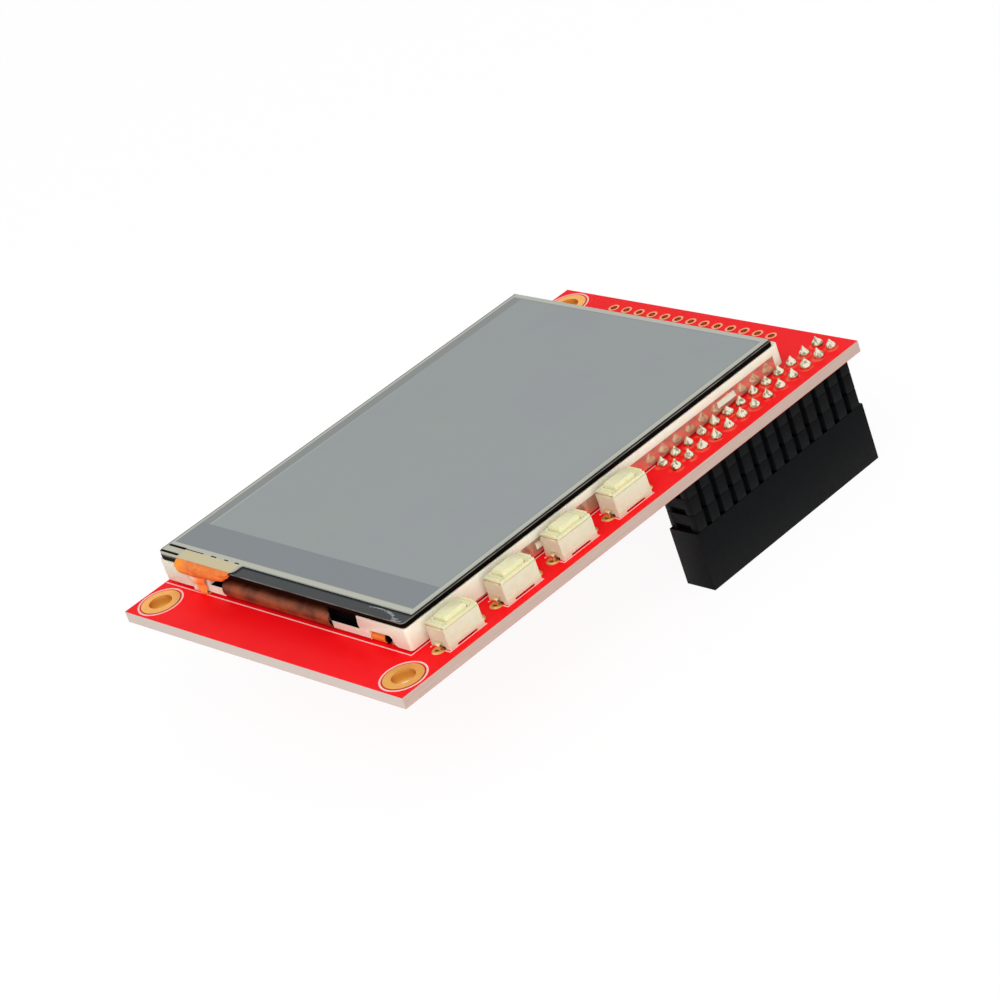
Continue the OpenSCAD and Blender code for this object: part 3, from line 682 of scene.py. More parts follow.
@dataclass(frozen=True)
class Graded(Finish):
    """A surface that changes to another colour along an axis.

    The change starts and has come in at places that count from the board's
    lowest corner.
    """

    other: str = "#ffffff"
    axis: int = 0
    start_mm: float = 0.0
    full_mm: float = 0.2
    amount: float = 1.0

    def colours(self, tree: Tree, place: Socket, grain: Socket) -> Socket:
        """Adds the other colour past its start."""
        base = super().colours(tree, place, grain)
        corner = BOARD_LOW[self.axis]
        start, full = corner + self.start_mm * MM, corner + self.full_mm * MM
        zone = ramp(tree, place, self.axis, start, full, self.amount)
        return layered(tree, base, (zone, self.other))


# Solder mask: even, saturated red with a soft sheen.
SOLDER_MASK = SolderMask(
    "red_solder_mask", "#fc121a", 0.35, specular=0.05, second="#f40d16", mottle=0.5, pattern_mm=6.0
)
# Screen-printed epoxy ink: chalky white, slightly broken.
SILK = Finish(
    "silkscreen_ink", "#f8d5d1", 0.6, specular=0.2, second="#f3b9b3", mottle=0.8, pattern_mm=0.25,
    bump_um=4
)
# Bare laminate between a land and the mask: dull brown.
BARE_LAMINATE = Finish("bare_laminate", "#8a2a1c", 0.55, second="#6e1d14", mottle=0.8, pattern_mm=0.4)
# Immersion gold over copper: soft warm mirror with faint plating grain.
GOLD = HolePlating(
    "immersion_gold", "#f6b963", 0.45, metallic=1.0, second="#eeab57", mottle=0.6, pattern_mm=0.8,
    bump_um=3
)
# Thin immersion gold on the spare row: copper shows through, peach.
THIN_GOLD = Finish(
    "thin_immersion_gold", "#f3a97c", 0.42, metallic=1.0, second="#e99a68", mottle=0.6, pattern_mm=0.6
)
# Tin solder: bright and wavy; its dark olive mottle is partly a yellow-green cast of flux and partly
# painted shade of its creases.
SOLDER = Finish(
    "tin_solder", "#ece5cd", 0.17, metallic=1.0, second="#6b6040", mottle=0.75, spread=(0.5, 0.62),
    pattern_mm=0.48, bump_um=12
)
# Glass-filled nylon, moulded: near black with a fine matt grain.
HEADER_NYLON = Finish(
    "black_moulded_nylon", "#0c0d0f", 0.5, specular=0.07, second="#08090a", mottle=0.8, pattern_mm=0.5,
    bump_um=4
)
# Phosphor bronze: gold flash in the socket, tinned white where solder wets it.
CONTACT_BRONZE = Graded(
    "gold_flashed_bronze", "#e2b765", 0.22, metallic=1.0, second="#c99742", mottle=0.7, pattern_mm=0.5,
    other="#e9e8de", axis=2
)
# Brass lead with a thin, pale gold plating.
LEAD_BRASS = Finish(
    "gold_plated_brass", "#fce9c4", 0.34, metallic=1.0, second="#f3cf96", mottle=0.7, pattern_mm=0.4
)
# The leads' rings: gold wetted with solder, paler than the lands.
RING_GOLD = Finish(
    "solder_wetted_gold", "#f6c583", 0.3, metallic=1.0, second="#dd9a50", mottle=0.8, pattern_mm=0.5,
    bump_um=6
)
# Polycarbonate of the display's frame: warm white, a little light goes in.
FRAME_PLASTIC = Finish(
    "white_polycarbonate", "#f1efde", 0.42, specular=0.3, second="#ebe7d0", mottle=0.6, pattern_mm=1.6,
    bump_um=1, depth_mm=0.3
)
# Rolled stainless sheet: a mirror tinted salmon, a painted reflection of the red board, patchy.
TRAY_STEEL = Finish(
    "rolled_stainless_sheet", "#ecc9b2", 0.09, metallic=0.72, second="#d8a58b", mottle=0.6,
    pattern_mm=1.4, stretch=(1.0, 0.5, 1.0), bump_um=1
)
# Cream nylon of the buttons' cases: waxy, warm.
CASE_NYLON = Finish(
    "cream_nylon", "#dcd6bd", 0.42, specular=0.3, second="#d5cdae", mottle=0.6, pattern_mm=0.9, bump_um=3,
    depth_mm=0.3
)
# Covers and caps: the same nylon, a shade paler and yellower.
CAP_NYLON = Finish(
    "pale_yellow_nylon", "#e6e2b9", 0.38, specular=0.3, second="#dfdaa8", mottle=0.5, pattern_mm=0.7,
    bump_um=2, depth_mm=0.3
)
# The gap under a cover, where little light gets in.
SEAM_SHADOW = Finish(
    "shaded_nylon_gap", "#8b7852", 0.7, specular=0.1, second="#766440", mottle=0.8, pattern_mm=1.2
)
# Black acrylic tape.
BLACK_TAPE = Finish(
    "black_acrylic_tape", "#050404", 0.6, specular=0.03, second="#090707", mottle=0.6, pattern_mm=0.3
)
# Conductive glass over black: a dark slate mirror.
TOUCH_GLASS = Finish(
    "conductive_glass", "#22282b", 0.1, specular=0.2, second="#2a3033", mottle=0.5, pattern_mm=1.5
)
# The glass's arris: a painted highlight that shows as a thin pale line.
GLASS_ARRIS_HIGHLIGHT = Finish(
    "glass_arris_painted_highlight", "#7d746b", 0.6, specular=0.2, second="#453f3c", mottle=0.9, pattern_mm=3.0
)
# Black edge ink on the sides of the glass.
EDGE_INK = Finish(
    "black_edge_ink", "#070504", 0.5, specular=0.03, second="#0b0807", mottle=0.6, pattern_mm=0.8
)
# Silver conductive ink, brushed on by hand: dull grey, patchy.
SILVER_INK = Finish(
    "silver_conductive_ink", "#9ca1a3", 0.6, specular=0.2, second="#5b6063", mottle=0.9, pattern_mm=0.3
)
# Polyimide film over copper: glossy amber orange.
POLYIMIDE = Finish(
    "polyimide_film", "#f08838", 0.35, specular=0.2, second="#dd6f1c", mottle=0.7, pattern_mm=0.8,
    bump_um=4
)
# Foam tape: chalky cream.
FOAM_TAPE = Finish("foam_tape", "#e6e1d4", 0.8, second="#d4cdbc", mottle=0.8, pattern_mm=0.3)
# Mirror film behind the light guide: bright satin white.
MIRROR_FILM = Finish("white_mirror_film", "#f4f4f1", 0.25, second="#ecece8", mottle=0.5, pattern_mm=2.0)
# Frosted polyester: milky, matt.
DIFFUSER_FILM = Finish("frosted_polyester", "#f0f0ec", 0.7, second="#e6e6e0", mottle=0.5, pattern_mm=0.4)
# Phosphor resin over the lamps: pale yellow.
LAMP_RESIN = Finish("phosphor_resin", "#f1edb8", 0.3, second="#e6df98", mottle=0.5, pattern_mm=0.4)
# Polarising film: dark grey gloss.
POLARISER = Finish("polarising_film", "#41484e", 0.15, second="#3a4046", mottle=0.5, pattern_mm=2.0)
# Glass of the cell: grey-green gloss.
CELL_GLASS = Finish("cell_glass", "#5a6664", 0.08, second="#515c5a", mottle=0.4, pattern_mm=2.0)
# Bare silicon: slate mirror.
SILICON = Finish("silicon_die", "#4b4f55", 0.12, second="#3e4248", mottle=0.5, pattern_mm=0.5)
# Acrylic glue: dull grey.
GLUE = Finish("acrylic_glue", "#454744", 0.5, second="#383a37", mottle=0.6, pattern_mm=0.4)
# Epoxy of the controller: matt near-black.
CHIP_EPOXY = Finish("black_epoxy", "#232427", 0.6, second="#191a1c", mottle=0.7, pattern_mm=0.2)
# Glazed resistor: glossy near-black.
RESISTOR = Finish("resistor_glaze", "#26282b", 0.3, second="#1c1e20", mottle=0.5, pattern_mm=0.3)
# Sintered ceramic: matt tan.
CAPACITOR = Finish("sintered_ceramic", "#b8946c", 0.5, second="#a6825a", mottle=0.6, pattern_mm=0.2)
# Cast acrylic of the light guide: clear, faintly green.
ACRYLIC = Finish(
    "clear_acrylic_plate", "#e9f0ee", 0.08, second="#dfe8e6", mottle=0.5, pattern_mm=1.0, transmission=0.6
)
# Ridged polyester: fine lines that glint along X.
PRISM_FILM = Finish(
    "ridged_polyester", "#dfe5e6", 0.15, second="#cdd5d8", mottle=0.8, pattern_mm=0.3,
    stretch=(1.0, 0.02, 1.0), bump_um=8
)
# Spring steel of the domes: plain grey metal.
SPRING_STEEL = Finish("spring_steel", "#c8c8c8", 0.25, metallic=1.0, second="#b4b4b4", mottle=0.5)
# Tinned copper of the controller's legs: pale bright metal.
TINNED_COPPER = Finish("tinned_copper", "#d0d0cc", 0.25, metallic=1.0, second="#bcbcb6", mottle=0.6)
# The floor as it lights the part, and as the camera sees it take the shadow.
FLOOR_PAPER = "#f2f2f2"
SEEN_PAPER = "#505050"
WHITE = "#ffffff"


# Board -----------------------------------------------------------------------


@dataclass
class CircuitBoard:
    """The board with its ink, its lands and the parts under it.

    The ink runs round the lands, along two walls of the display's frame and
    round each button, with a dot by the button's near corner.
    """

    land: float = 2.7 * MM
    ring_outer: float = 3.18 * MM
    ring_line: float = 0.25 * MM
    land_gap: float = 0.1 * MM
    ink: float = 0.02 * MM
    line: float = 0.15 * MM
    spare_land: float = 0.8 * MM
    edge_gap: float = 0.2 * MM
    wall_gap: float = 0.4 * MM
    wall_lap: float = 0.05 * MM
    wall_run: float = 44 * MM
    case_start: float = 0.9 * MM
    case_near: float = 0.26 * MM
    case_side: float = 0.12 * MM
    case_far: float = 0.1 * MM
    dot: float = 0.14 * MM
    dot_in: float = 0.1 * MM
    plain: tuple[tuple[str, Finish], ...] = (
        ("circuit_board", SOLDER_MASK), ("mounting_lands", GOLD), ("touch_controller", CHIP_EPOXY),
        ("controller_legs", TINNED_COPPER), ("board_resistors", RESISTOR), ("board_capacitors", CAPACITOR)
    )

    def holes(self) -> list[Vector]:
        """Gives the middles of the three mounting holes on the top face."""
        low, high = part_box("mounting_lands")
        left, right = low.x + self.land, high.x - self.land
        near, far = low.y + self.land, high.y - self.land
        spots = ((left, near), (right, near), (left, far))
        return [Vector((*spot, BOARD_HIGH.z)) for spot in spots]

    def print_ink(self) -> None:
        """Prints the outlines, rings and dots."""
        bm = bmesh.new()
        z = BOARD_HIGH.z
        for hole in self.holes():
            add_ring(bm, hole, self.ring_outer - self.ring_line, self.ring_outer, self.ink)
        shell_low, shell_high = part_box("backlight_frame")
        near = shell_low.y - self.wall_gap
        right = shell_high.x - self.wall_lap
        left = BOARD_LOW.x + self.edge_gap
        path = [(left, near), (right, near), (right, shell_low.y + self.wall_run)]
        add_strip(bm, path, self.line, z, self.ink)
        disc = [(self.dot, 0), (self.dot, self.ink), (0, self.ink)]
        for i in range(1, BUTTONS + 1):
            low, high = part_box(f"switch_case_{i}")
            start, side = low.x + self.case_start, high.x + self.case_side
            near, far = low.y - self.case_near, high.y + self.case_far
            path = [(start, near), (side, near), (side, far), (start, far)]
            add_strip(bm, path, self.line, z, self.ink)
            add_lathe(bm, Vector((low.x + self.dot_in, near, z)), disc, 12)
        piece("silkscreen", bm, SILK)

    def clear_lands(self) -> None:
        """Leaves a bare ring between each land and the mask."""
        bm = bmesh.new()
        for hole in self.holes():
            add_ring(bm, hole, self.land, self.land + self.land_gap, self.ink / 2)
        piece("bare_rings", bm, BARE_LAMINATE)

    def spare_rings(self) -> None:
        """Gives the spare row rings a narrower land, as the mask covers its rim."""
        bm = solid("spare_row_lands")
        low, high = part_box("spare_row_lands")
        radius, pitch = (high.y - low.y) / 2, StackedHeader().pitch
        for vert in bm.verts:
            place = round((vert.co.x - low.x - radius) / pitch)
            middle = Vector((low.x + radius + place * pitch, low.y + radius))
            out = vert.co.xy - middle
            if out.length > self.spare_land:
                vert.co.xy = middle + out.normalized() * self.spare_land
        made = piece("spare_rings", bm, THIN_GOLD)
        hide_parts("spare_row_lands")

    def build(self) -> None:
        """Builds and dresses the whole board."""
        self.print_ink()
        self.clear_lands()
        self.spare_rings()
        for node, finish in self.plain:
            dress(node, finish)


# Header ----------------------------------------------------------------------


@dataclass
class StackedHeader:
    """The stacked socket, its spacers, its contacts and their solder.

    The blob is height and width of a solder joint, as parts of its rise and
    its foot. The spreads are how far joints differ from one another.
    """

    pitch: float = 2.54 * MM
    rows: int = 2
    per_row: int = 13
    foot: float = 0.76 * MM
    rise: float = 1.42 * MM
    edge_mm: float = 0.1
    spacer_edge_mm: float = 0.03
    tail_width: float = 0.3
    tail_height: float = 0.8
    blob: tuple[tuple[float, float], ...] = (
        (0.0, 0.93), (0.06, 1.0), (0.2, 1.02), (0.34, 0.95), (0.47, 0.8), (0.58, 0.61), (0.69, 0.42),
        (0.81, 0.28), (0.93, 0.17), (1.0, 0.1), (1.02, 0.0)
    )
    foot_spread: tuple[float, float] = (0.92, 1.08)
    rise_spread: tuple[float, float] = (0.88, 1.04)
    lean_spread: tuple[float, float] = (0.02, 0.14)
    lobes: float = 0.04

    def places(self) -> list[Vector]:
        """Gives the middle of each contact on the board's top face."""
        low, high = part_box("header_contacts")
        top = BOARD_HIGH.z
        middle_x, middle_y = (low.x + high.x) / 2, (low.y + high.y) / 2
        return [
            Vector(
                (
                    middle_x + (row - (self.rows - 1) / 2) * self.pitch,
                    middle_y + (i - (self.per_row - 1) / 2) * self.pitch,
                    top,
                )
            )
            for row in range(self.rows)
            for i in range(self.per_row)
        ]

    def solder(self) -> None:
        """Lets a blob of solder climb each contact, no two alike."""
        draw = random.Random(7)
        bm = bmesh.new()
        for place in self.places():
            foot = self.foot * draw.uniform(*self.foot_spread)
            rise = self.rise * draw.uniform(*self.rise_spread)
            lean, turn = draw.uniform(*self.lean_spread), draw.uniform(0, 2 * math.pi)
            add_lathe(
                bm,
                place,
                [(foot * wide, rise * up) for up, wide in self.blob],
                20,
                lambda a, lean=lean, turn=turn: 1
                + lean * math.cos(a - turn)
                + self.lobes * math.cos(3 * a + turn),
            )
        made = piece("solder_joints", bm, SOLDER, shade=Shade.SMOOTH)
        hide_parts("header_solder")

    def contacts(self) -> None:
        """Draws the contacts' tails in to blunt points under the solder."""
        bm = solid("header_contacts")
        places = self.places()
        top = places[0].z
        bmesh.ops.bisect_plane(
            bm, geom=[*bm.verts, *bm.edges, *bm.faces], plane_co=(0, 0, top), plane_no=(0, 0, 1)
        )
        for vert in bm.verts:
            if vert.co.z > top + 0.01 * MM:
                near = min(places, key=lambda p: (p.xy - vert.co.xy).length)
                vert.co.xy = near.xy.lerp(vert.co.xy, self.tail_width)
                vert.co.z = top + (vert.co.z - top) * self.tail_height
        made = piece("pointed_contacts", bm, CONTACT_BRONZE)
        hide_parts("header_contacts")

    def build(self) -> None:
        """Builds and dresses the whole header."""
        self.solder()
        self.contacts()
        eased("header_socket", self.edge_mm, HEADER_NYLON)
        for level in ("lower", "middle", "upper"):
            name = f"header_spacer_{level}"
            eased(name, self.spacer_edge_mm, HEADER_NYLON)


# Display ---------------------------------------------------------------------


@dataclass(frozen=True)
class HardCoatedFilm(Finish):
    """Hard-coated polyester over the panel: plain grey, with a pale printed rim.

    The zones are the rim, a thin darker line inside it, the inactive band by
    the tail, a shaded margin on the left with a pale line beside it, the clear
    lug over the tail, and the dark cut edge on the left.
    """

    rim: str = "#b7b9ae"
    rim_line: str = "#858a85"
    band: str = "#80868a"
    margin: str = "#868b8a"
    pale: str = "#a9b0ae"
    lug: str = "#bbb9a8"
    tail_tan: str = "#cbc09a"
    cut: str = "#5c5f5d"
    near_rim: float = 0.85
    side_rim: float = 0.55
    far_rim: float = 0.8
    tail_mm: tuple[float, float] = (4.3, 15.6)
    left_rim: float = 0.65
    band_mm: float = 4.85
    margin_mm: float = 1.65
    set_back_mm: float = 1.85
    pale_mm: float = 0.26
    pale_reach_mm: float = 48.0
    line_mm: float = 0.14
    soft_mm: float = 0.08
    cut_mm: float = 0.2
    lug_mm: float = 0.05
    beyond: float = 1.0

    def colours(self, tree: Tree, place: Socket, grain: Socket) -> Socket:
        """Adds the zones on top of the plain grey."""
        low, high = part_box("touch_film")
        colour = super().colours(tree, place, grain)
        x0, x1 = low.x + self.left_rim * MM, high.x - self.side_rim * MM
        y0 = low.y + (self.set_back_mm + self.near_rim) * MM
        y1 = high.y - self.far_rim * MM
        line, soft, far = self.line_mm * MM, self.soft_mm * MM, self.beyond
        lit_x, lit_y = x0 + self.margin_mm * MM, y0 + self.band_mm * MM
        lug_y = low.y + (self.set_back_mm - self.lug_mm) * MM
        pale_x = lit_x + self.pale_mm * MM
        cut_x = low.x + self.cut_mm * MM
        tail = [BOARD_LOW.x + x * MM for x in self.tail_mm]
        zones = (
            (self.rim, (cut_x, low.y - far), (far, far)),
            (self.lug, (cut_x, low.y - far), (high.x + far, lug_y)),
            (self.tail_tan, (tail[0], low.y - far), (tail[1], lug_y)),
            (self.rim_line, (x0, y0), (x1, y1)),
            (self.band, (x0 + line, y0 + line), (x1 - line, y1 - line)),
            (self.margin, (x0 + line, lit_y), (lit_x, y1 - line)),
            (None, (lit_x, lit_y), (x1 - line, y1 - line)),
            (self.pale, (lit_x, lit_y), (pale_x, y1 - line))
        )
        layers: list[tuple[Socket, object]] = []
        for code, corner, opposite in zones:
            mask = rectangle(tree, place, corner, opposite, soft)
            if code == self.pale:
                gone = lit_y + self.pale_reach_mm * MM
                fade = ramp(tree, place, 1, gone, lit_y)
                mask = add_node(tree, "Math", {"operation": "MULTIPLY"}, _0=mask, _1=fade).outputs[0]
            layers.append((mask, code or colour))
        return layered(tree, self.cut, *layers)


@dataclass(frozen=True)
class CopperRibbon(Finish):
    """Polyimide ribbon: copper traces under it, in shadow where it meets the glass."""

    trace: str = "#8e4526"
    trace_mm: float = 0.4
    trace_amount: tuple[float, float] = (0.1, 0.5)
    wander_mm: float = 0.5
    shade: str = "#1a0806"
    shade_from_mm: float = 3.7
    shade_to_mm: float = 4.5

    def colours(self, tree: Tree, place: Socket, grain: Socket) -> Socket:
        """Adds the traces, which run along the ribbon, and the dark upper part."""
        base = super().colours(tree, place, grain)
        across = add_node(tree, "SeparateXYZ", Vector=place).outputs[0]
        wander = add_node(
            tree, "Math", {"operation": "MULTIPLY_ADD"}, _0=grain, _1=self.wander_mm * MM, _2=across
        )
        turns = add_node(
            tree, "Math", {"operation": "MULTIPLY"}, _0=wander.outputs[0],
            _1=2 * math.pi / (self.trace_mm * MM)
        )
        wave = add_node(tree, "Math", {"operation": "SINE"}, _0=turns.outputs[0])
        amount = add_node(
            tree, "MapRange", Value=wave.outputs[0], From_Min=-1.0, From_Max=1.0,
            To_Min=self.trace_amount[0], To_Max=self.trace_amount[1]
        ).outputs[0]
        start, full = self.shade_from_mm * MM, self.shade_to_mm * MM
        shade = ramp(tree, place, 2, start, full)
        return layered(tree, base, (amount, self.trace), (shade, self.shade))


# Hard-coated polyester: an even, satin grey.
TOUCH_FILM = HardCoatedFilm(
    "hard_coated_polyester", "#949b99", 0.35, specular=0.15, second="#94979c", mottle=0.6, pattern_mm=12.0
)
# Ribbon: brown where the copper lies close, mottled where the glue wets it.
RIBBON = CopperRibbon(
    "copper_ribbon", "#48190f", 0.3, specular=0.2, second="#a4522a", mottle=0.9, pattern_mm=2.2, bump_um=6
)
# The touch tail: bright orange, darker in its creases, lit through at its left end.
TAIL = Graded(
    "bare_polyimide_tail", "#f2863c", 0.35, specular=0.2, second="#e0651e", mottle=0.8, pattern_mm=0.9,
    bump_um=6, other="#ffa425", start_mm=7.0, full_mm=4.4, amount=0.85
)
# Its folded strip, seen from its adhesive side: pale peach.
TAIL_STRIP = Graded(
    "adhesive_backed_polyimide", "#ff7a2a", 0.4, specular=0.2, second="#f39a58", mottle=0.8,
    pattern_mm=0.6, other="#ffe2c4", start_mm=8.4, full_mm=7.2, amount=0.95
)


@dataclass
class Display:
    """The display module with its touch panel and its flexible circuits.

    Places in millimetres count from the board's near left corner: bars as left
    end, right end, Y and width; drops as place along the tongue and how far it
    hangs; folds as distance before the frame's wall, height over the board,
    left and right end; painted shade sheets as two corners; strokes as points and a width.
    """

    flex: float = 0.06 * MM
    dash_ink: float = 0.012 * MM
    arris: float = 0.09 * MM
    flat_face: float = 0.95
    arris_face: float = 0.3
    flap_bulge: float = 0.72 * MM
    flap_gap: float = 0.03 * MM
    crease: float = 0.11 * MM
    pleat: float = 0.16
    shade_sheet: float = 0.03 * MM
    recesses: tuple[Pair, ...] = ((10.15, 12.85), (34.9, 40.45))
    recess_ledge: float = 1.51 * MM
    recess_depth: float = 0.86 * MM
    recess_lap: float = 0.2 * MM
    frame_edge_mm: float = 0.08
    lean: float = 0.6 * MM
    lean_foot: float = 1.5 * MM
    lean_from: float = 0.2
    lean_wall: Pair = (39.9, 40.2)
    tab_hole: Pair = (42.3, 45.5)
    tab_width: float = 2.8
    tab_left: float = 0.12
    tab_forward: float = 0.09 * MM
    bars: tuple[tuple[float, ...], ...] = (
        (0.67, 4.2, 9.55, 0.4), (4.2, 8.0, 9.55, 0.14), (9.6, 10.7, 9.55, 0.2), (12.4, 13.2, 9.55, 0.2),
        (14.6, 15.5, 9.55, 0.2), (0.45, 4.24, 8.15, 0.4)
    )
    drops: tuple[Pair, ...] = (
        (0.0, 1.3), (0.07, 1.95), (0.35, 1.85), (0.62, 1.75), (0.82, 1.45), (0.94, 0.85), (1.0, 0.3)
    )
    folds: tuple[tuple[float, ...], ...] = (
        (-0.3, 2.5, 6.2, 9.7), (-0.5, 2.1, 6.3, 9.6), (-0.42, 1.6, 6.3, 9.5), (-0.2, 1.2, 6.5, 9.4),
        (-0.5, 0.8, 6.7, 9.5), (-0.62, 0.45, 6.9, 9.6), (-0.4, 0.2, 7.0, 9.6), (0.1, 0.16, 7.0, 9.5),
        (2.6, 0.16, 7.0, 9.4)
    )
    # Black sheets of painted shade, each as two corners.
    shade_sheets: tuple[tuple[Point, Point], ...] = (
        ((34.7, 7.75, 0.32), (34.96, 8.46, 3.44)), ((44.98, 7.8, 0.08), (45.01, 9.2, 1.7)),
        ((44.98, 9.17, 0.08), (46.6, 9.2, 1.8))
    )
    strokes: tuple[tuple[tuple[Pair, ...], float], ...] = (
        (((42.2, 8.95), (43.2, 9.12), (44.3, 9.14), (45.4, 9.04)), 0.18),
        (((45.2, 9.06), (46.1, 8.92), (46.9, 8.68), (47.3, 8.5)), 0.38),
        (((47.3, 8.2), (47.9, 8.1), (48.4, 8.2)), 0.3), (((47.4, 7.8), (48.4, 7.78), (49.2, 7.98)), 0.2)
    )
    plain: tuple[tuple[str, Finish], ...] = (
        ("backing_tray", TRAY_STEEL), ("mounting_tape", FOAM_TAPE), ("reflector_sheet", MIRROR_FILM),
        ("light_guide", ACRYLIC), ("diffuser_sheet", DIFFUSER_FILM), ("prism_sheet_lower", PRISM_FILM),
        ("prism_sheet_upper", PRISM_FILM), ("lamps", LAMP_RESIN), ("rim_tape", BLACK_TAPE),
        ("rear_polariser", POLARISER), ("rear_glass", CELL_GLASS), ("front_glass", CELL_GLASS),
        ("front_polariser", POLARISER), ("driver_chip", SILICON), ("display_ribbon", RIBBON),
        ("ribbon_pads", GOLD), ("panel_tape", BLACK_TAPE), ("touch_rim", GLUE), ("touch_film", TOUCH_FILM)
    )

    def dashes(self) -> None:
        """Lays the dark contact bars that show at the film's lug."""
        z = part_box("touch_film")[1].z
        left, front = BOARD_LOW.xy
        bm = bmesh.new()
        for x0, x1, y, wide in self.bars:
            near, far = front + (y - wide / 2) * MM, front + (y + wide / 2) * MM
            low = (left + x0 * MM, near, z)
            add_box(bm, low, (left + x1 * MM, far, z + self.dash_ink))
        piece("contact_bars", bm, BLACK_TAPE)

    def flap(self) -> None:
        """Rolls the touch tail's wide tongue down in front of the frame."""
        low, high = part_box("touch_tail")
        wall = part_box("backlight_frame")[0].y
        steps, count = 16, 44
        rows: list[list[Point]] = []
        for i in range(-1, steps + 1):
            down = max(0, i) / steps
            angle = math.pi * down
            row: list[Point] = []
            for k in range(count + 1):
                along = k / count
                drop = curve(self.drops, along) * MM
                out = min(self.flap_bulge, 0.42 * drop)
                wave = math.sin(math.pi * (1.7 * along - 1.25 * down + 0.15))
                fine = math.sin(2 * math.pi * (2.1 * along - 1.1 * down) + 1.1)
                fold = (1 - 2 * abs(wave) ** 0.8) + 0.35 * fine
                fold *= self.crease * math.sin(angle)
                x = low.x + (high.x - low.x) * along
                y = wall - out * math.sin(angle) + fold if i >= 0 else wall + MM
                z = high.z - drop * (1 - math.cos(angle)) / 2
                row.append((x, y - self.flap_gap, z))
            rows.append(row)
        bm = bmesh.new()
        add_sheet(bm, rows, self.flex)
        made = piece("tail_flap", bm, TAIL, shade=Shade.SMOOTH)
        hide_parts("touch_tail")

    def strip(self) -> None:
        """Folds the tail's narrow strip down and back under the frame."""
        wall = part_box("backlight_frame")[0].y
        left, top = BOARD_LOW.x, BOARD_HIGH.z
        rows: list[list[Point]] = []
        count = 10
        for out, height, start, end in self.folds:
            row: list[Point] = []
            for k in range(count + 1):
                along = k / count
                wave = math.sin(2 * math.pi * along + height)
                fold = self.pleat * wave if out < 0 else 0
                x = left + (start + (end - start) * along) * MM
                row.append((x, wall + (out + fold) * MM, top + height * MM))
            rows.append(row)
        bm = bmesh.new()
        add_sheet(bm, rows, self.flex)
        made = piece("tail_strip", bm, TAIL_STRIP, shade=Shade.SMOOTH)
        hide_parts("touch_tail")

    def paint_recess_shade(self) -> None:
        """Puts black sheets of painted shade in the recesses beside the ribbon and at a few more spots.
        """
        wall, shell_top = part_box("backlight_frame")
        corner = Vector((*BOARD_LOW.xy, BOARD_HIGH.z))
        bm = bmesh.new()
        ledge, back = corner.z + self.recess_ledge, wall.y + self.recess_depth
        top = shell_top.z - 0.01 * MM
        for start, end in self.recesses:
            x0, x1 = corner.x + start * MM, corner.x + end * MM
            low = (x0, wall.y + self.shade_sheet, ledge)
            add_box(bm, low, (x1, back, ledge + self.shade_sheet))
            high = (x1 + self.recess_lap, back + self.shade_sheet, top)
            add_box(bm, (x0, back, ledge), high)
        for low, high in self.shade_sheets:
            add_box(bm, corner + Vector(low) * MM, corner + Vector(high) * MM)
        piece("recess_shade", bm, BLACK_TAPE)

    def open_frame(self) -> None:
        """Eases the frame's edges and lets its wide recess lean open."""
        name, width = "backlight_frame", self.frame_edge_mm
        made = eased(name, width, FRAME_PLASTIC)
        low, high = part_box(name)
        foot = BOARD_HIGH.z + self.lean_foot
        start, end = (low.x + x * MM for x in self.lean_wall)
        for vert in made.data.vertices:
            x, y, z = vert.co
            part = (z - foot) / (high.z - foot)
            if start < x < end and y < low.y + MM and part > self.lean_from:
                vert.co.x = x + self.lean * part

    def lamp_tab(self) -> None:
        """Brings the lamps' orange tab forward, flush with the wall."""
        bm = solid("lamp_flex")
        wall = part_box("backlight_frame")[0]
        start, end = (wall.x + x * MM for x in self.tab_hole)
        for vert in bm.verts:
            if start < vert.co.x < end and vert.co.y < wall.y + 3 * MM:
                part = (vert.co.x - start) / (end - start)
                vert.co.x = start + (part * self.tab_width - self.tab_left) * MM
                vert.co.y -= self.tab_forward
        made = piece("lamp_flex_tab", bm, POLYIMIDE)
        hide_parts("lamp_flex")

    def cut_glass(self) -> None:
        """Cuts the touch glass: black sides under an arris with a painted highlight."""
        bm = solid("touch_glass")
        top = max(v.co.z for v in bm.verts)
        rim = [
            e
            for e in bm.edges
            if all(v.co.z > top - 0.001 * MM for v in e.verts)
            and any(abs(f.normal.z) < 0.5 for f in e.link_faces)
        ]
        bmesh.ops.bevel(bm, geom=rim, offset=self.arris, segments=1, affect="EDGES")
        bm.normal_update()
        for face in bm.faces:
            up = abs(face.normal.z)
            face.material_index = int(up <= self.flat_face) + int(up <= self.arris_face)
        made = piece("touch_glass_cut", bm, TOUCH_GLASS)
        for finish in (GLASS_ARRIS_HIGHLIGHT, EDGE_INK):
            made.data.materials.append(finish.make())
        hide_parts("touch_glass")

    def silver_marks(self) -> None:
        """Brushes silver ink on the glass's bare strip, by its right end."""
        left, near = BOARD_LOW.xy
        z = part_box("touch_glass")[1].z
        bm = bmesh.new()
        for path, wide in self.strokes:
            points = [(left + x * MM, near + y * MM) for x, y in path]
            add_strip(bm, points, wide * MM, z, self.dash_ink)
        piece("silver_strokes", bm, SILVER_INK)

    def build(self) -> None:
        """Builds and dresses the whole display."""
        self.dashes()
        self.flap()
        self.strip()
        self.paint_recess_shade()
        self.cut_glass()
        self.silver_marks()
        self.open_frame()
        self.lamp_tab()
        for node, finish in self.plain:
            dress(node, finish)


# Push buttons ----------------------------------------------------------------


